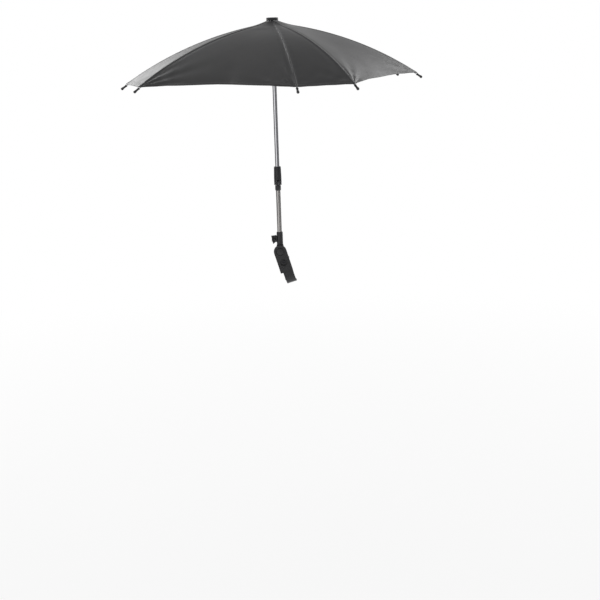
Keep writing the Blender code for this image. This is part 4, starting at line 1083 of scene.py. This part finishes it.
def declareCloth(grid):
    # The grid's points on the cloth's top face; nothing more is done with them
    points = [
        [clothPoint(panel, along, share, canopy["topside"]) for panel, along, share in line]
        for line in grid]


folding = {
    "blendFrom": 0.0138,  # the cloth stays with the shaft up to here, measured from its axis
    "blendTo": 0.0250,
    "seamColumns": (0.0, 0.05, 0.10, 0.17, 0.27, 0.42, 0.68, 1.0),
    "bands": (0.12, 0.24),  # a wide gore tucks in three bands, cut at these distances
    # tuck: how far clear of the rib's side
    "wide": {"columns": (0.0, 0.12, 0.26, 0.42, 0.60, 0.80, 1.0), "tuck": 0.0034, "keep": 0.03},
    "narrow": {"columns": (0.0, 0.30, 0.65, 1.0), "tuck": 0.0027, "keep": 0.02},
    "clearance": 0.0015,
    "seamGap": 0.0004,
    "tilts": 60,  # tried each way to find how a gore flattens, half a degree apart
}
foldedShares = {}


def foldingOf(panel):
    return folding["wide" if panel["wide"] else "narrow"]


def stripGrid(index):
    # The cloth that stays with one rib: its left side in the gore before, its right in the one after
    before, after = panels[index - 1], panels[index]
    parts = folding["seamColumns"]
    grid = []
    for along in rows:
        left, right = foldedShare(before, along), foldedShare(after, along)
        line = [(before, along, 1 - part * left) for part in reversed(parts[1:])]
        grid.append(line + [(after, along, part * right) for part in parts])
    return grid


def tuckGrid(panel, atFirst, begin, end):
    # Half of a gore's middle, from the cloth that stays with the rib to the gore's middle line
    grid = []
    for along in rows:
        if not begin - 1e-9 <= along <= end + 1e-9:
            continue
        edge = foldedShare(panel, along)
        shares = [edge + (0.5 - edge) * part for part in foldingOf(panel)["columns"]]
        if not atFirst:
            shares = [1 - share for share in reversed(shares)]
        grid.append([(panel, along, share) for share in shares])
    return grid


def tuckSquash(grid, rib, atFirst, panel):
    # Which way and to where the middle of a gore flattens, so that it lies inside the folded cloth
    middle = (grid[0][0][1] + grid[-1][0][1]) / 2
    slope = slopeAt(middle)
    side = rib["side"] * (1 if atFirst else -1)
    ribMiddle, upward = ribFrame(rib, middle)[::2]
    keep = foldingOf(panel)["keep"]
    anchor = ribMiddle + side * foldingOf(panel)["tuck"]
    points = [clothPoint(*spot, canopy["topside"]) for line in grid for spot in line]
    best, chosen = None, None
    for step in range(-folding["tilts"], folding["tilts"] + 1):
        angle = math.radians(step / 2)
        axis = side * math.cos(angle) - upward * math.sin(angle)
        highest = -1.0
        for point in points:
            moved = point - axis * ((point - anchor).dot(axis) * (1 - keep))
            local = moved - rib["hinge"]
            across = local.dot(side)
            outward, raised = local.dot(rib["out"]), local.z
            above = math.hypot(
                outward + arcRadius * math.sin(firstSlope),
                raised + arcRadius * math.cos(firstSlope)) - arcRadius
            allowed = canopy["aboveRib"] - across * math.tan(panel["turn"] / 2) * math.sin(slope)
            highest = max(highest, above - allowed)
        miss = abs(highest + folding["clearance"])
        if best is None or miss < best:
            best, chosen = miss, axis
    return chosen, anchor, keep


def buildCanopy():
    made = []
    for index, rib in enumerate(ribs):
        grid = stripGrid(index)
        piece = gridPiece(f"seam_strip_{rib['number']}", rib["body"], grid, finishes["cover_cloth"])
        declareCloth(grid)
        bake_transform(piece)
        made.append(piece)
    for index, panel in enumerate(panels):
        opening = [along for along in rows if foldedShare(panel, along) < 0.4999]
        cuts = [rows[rows.index(opening[0]) - 1], clothEnd]
        if panel["wide"]:
            cuts[1:1] = [min(rows, key=lambda along: abs(along - cut)) for cut in folding["bands"]]
        for atFirst in (True, False):
            rib = panel["first"] if atFirst else panel["last"]
            for band, (low, high) in enumerate(zip(cuts, cuts[1:]), 1):
                grid = tuckGrid(panel, atFirst, low, high)
                label = f"gore_{index + 1}_{'a' if atFirst else 'b'}_{band}"
                piece = gridPiece(label, rib["body"], grid, finishes["cover_cloth"])
                declareCloth(grid)
                axis, anchor, keep = tuckSquash(grid, rib, atFirst, panel)
                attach(piece, rib["body"])
                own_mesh(piece)
                made.append(piece)
    return made


def crownDisc():
    # The middle of the cloth, held between the crown and the cap
    bm = bmesh.new()
    inner, outer = canopy["holeRadius"], canopy["capRadius"] - 0.0001
    low, high = canopy["underside"], canopy["topside"]
    rings = []
    for radius, height in ((inner, low), (outer, low), (outer, high), (inner, high)):
        level = crownMiddle.z + canopy["crownFlat"] + height
        rings.append([
            bm.verts.new((crownMiddle.x + radius * c, crownMiddle.y + radius * s, level))
            for c, s in around(cap["sides"])])
    bridgeRings(bm, rings, closed=True)
    piece = solidObject("cover_centre", bm)
    for label in ("panel", "seam"):
        layer = piece.data.uv_layers.new(name=label)
        for loop in piece.data.loops:
            spot = piece.data.vertices[loop.vertex_index].co
            layer.data[loop.index].uv = (spot.x + 0.1, spot.y + 0.1)
    piece.data.materials.append(finishes["cover_cloth"])
    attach(piece, "upper_shaft")
    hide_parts("canopy_cover")


sewn = buildCanopy()
crownDisc()
print("canopy sewn:", len(sewn) + 1, "cloth pieces")

# Rib ends: small turned caps, threads that tie the cloth's corners to them, and threads round the ribs
ribEnd = {
    "length": 0.016,
    "bore": 0.0019,
    "boreDepth": 0.011,
    "sides": 28,
    # radius, and distance from the cap's inner end
    "profile": (
        (0.0021, 0.0), (0.0023, 0.0003), (0.0023, 0.0056), (0.0025, 0.0061), (0.0025, 0.0067),
        (0.0023, 0.0072), (0.0023, 0.0086), (0.0026, 0.0098), (0.0030, 0.0112), (0.0032, 0.0127),
        (0.0031, 0.0141), (0.0026, 0.0152), (0.0016, 0.0158), (0.0, 0.0160)),
    "neck": 0.0023,  # radius under the thread
    "ease": 0.0001,
    "thread": 0.00028,  # radius
    "threadBite": 0.1,  # the share of its radius that it sinks in
    "threadPitch": 2.05,  # from turn to turn, in radii
    "threadSides": 8,
    "tipTurns": 4,
    "tipThreadAt": 0.0012,
    "ties": (0.070, 0.310),  # along the rib, clear of its stretcher both open and closed
    "tieTurns": 3,
    "tieHalf": 0.0021,
    "tieDrop": 0.0026,
    "tieInCloth": 0.0001,
    "tieCorner": 0.6,
    "loopSteps": 28,
    "threadColour": (0.022, 0.022, 0.023),
    "threadPaler": (0.060, 0.060, 0.062),
}


def sewingThread():
    material, tree, shader = newFinish("sewingThread")
    where = objectSpace(tree)
    fibres = noiseOf(tree, where, 2400.0, 3.0)
    tone = noiseOf(tree, where, 190.0, 2.0)
    mixed = calc(tree, "MULTIPLY_ADD", fibres, 0.5, calc(tree, "MULTIPLY", tone, 0.5))
    join(tree, shader.inputs["Base Color"], blendColour(
        tree, mixed, ribEnd["threadColour"], ribEnd["threadPaler"]))
    join(tree, shader.inputs["Roughness"], between(tree, mixed, (0.60, 0.78)))
    addBump(tree, shader, fibres, 0.5, 0.0001)
    return material


def tipShape(c, s):
    reach = ribEnd["neck"] + ribEnd["thread"] * (1 - ribEnd["threadBite"])
    return reach * c, reach * s


def tieShape(c, s):
    # Rounded box: flat against the cloth, round under the rib
    top = canopy["aboveRib"] + canopy["underside"] + ribEnd["tieInCloth"]
    tall = top if s > 0 else ribEnd["tieDrop"]
    return squared(c, ribEnd["tieCorner"]) * ribEnd["tieHalf"], squared(s, ribEnd["tieCorner"]) * tall


def buildThread(name, rib, shape, turns, centre, onward, upward):
    # Turns of thread side by side; shape gives across and up, round one turn
    bm = bmesh.new()
    radius, side = ribEnd["thread"], rib["side"]
    for turn in range(turns):
        middle = centre + onward * (radius * ribEnd["threadPitch"] * (turn - (turns - 1) / 2))
        path = []
        for c, s in around(ribEnd["loopSteps"]):
            across, up = shape(c, s)
            path.append(middle + side * across + upward * up)
        rings = []
        for k, point in enumerate(path):
            run = (path[(k + 1) % len(path)] - path[k - 1]).normalized()
            across = run.cross(onward).normalized()
            rings.append([bm.verts.new(point + (onward * c + across * s) * radius)
                          for c, s in around(ribEnd["threadSides"])])
        bridgeRings(bm, rings, closed=True)
    piece = solidObject(name, bm)
    shadeSmooth(piece)
    piece.data.materials.append(threadFinish)
    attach(piece, rib["body"])


def buildRibEnd(rib):
    number = rib["number"]
    start = ribFrame(rib, ribLength - ribEnd["length"])[0]
    end = ribFrame(rib, ribLength)[0]
    bore = ((0.0, ribEnd["boreDepth"]), (ribEnd["bore"], ribEnd["boreDepth"]), (ribEnd["bore"], 0.0))
    piece = turnedPiece(
        f"rib_end_{number}", bore + ribEnd["profile"], start, ribEnd["sides"], end - start, closed=False)
    easeEdges(piece, ribEnd["ease"], 2)
    piece.data.materials.append(finishes["black_plastic"])
    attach(piece, rib["body"])
    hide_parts(f"rib_tip_{number}")

    onward = (end - start).normalized()
    upward = rib["side"].cross(onward).normalized()
    middle = start + onward * ribEnd["tipThreadAt"]
    buildThread(f"tip_thread_{number}", rib, tipShape, ribEnd["tipTurns"], middle, onward, upward)
    for count, along in enumerate(ribEnd["ties"], 1):
        buildThread(f"rib_tie_{number}_{count}", rib, tieShape, ribEnd["tieTurns"], *ribFrame(rib, along))


threadFinish = sewingThread()
for rib in ribs:
    buildRibEnd(rib)
print("rib ends and threads built")
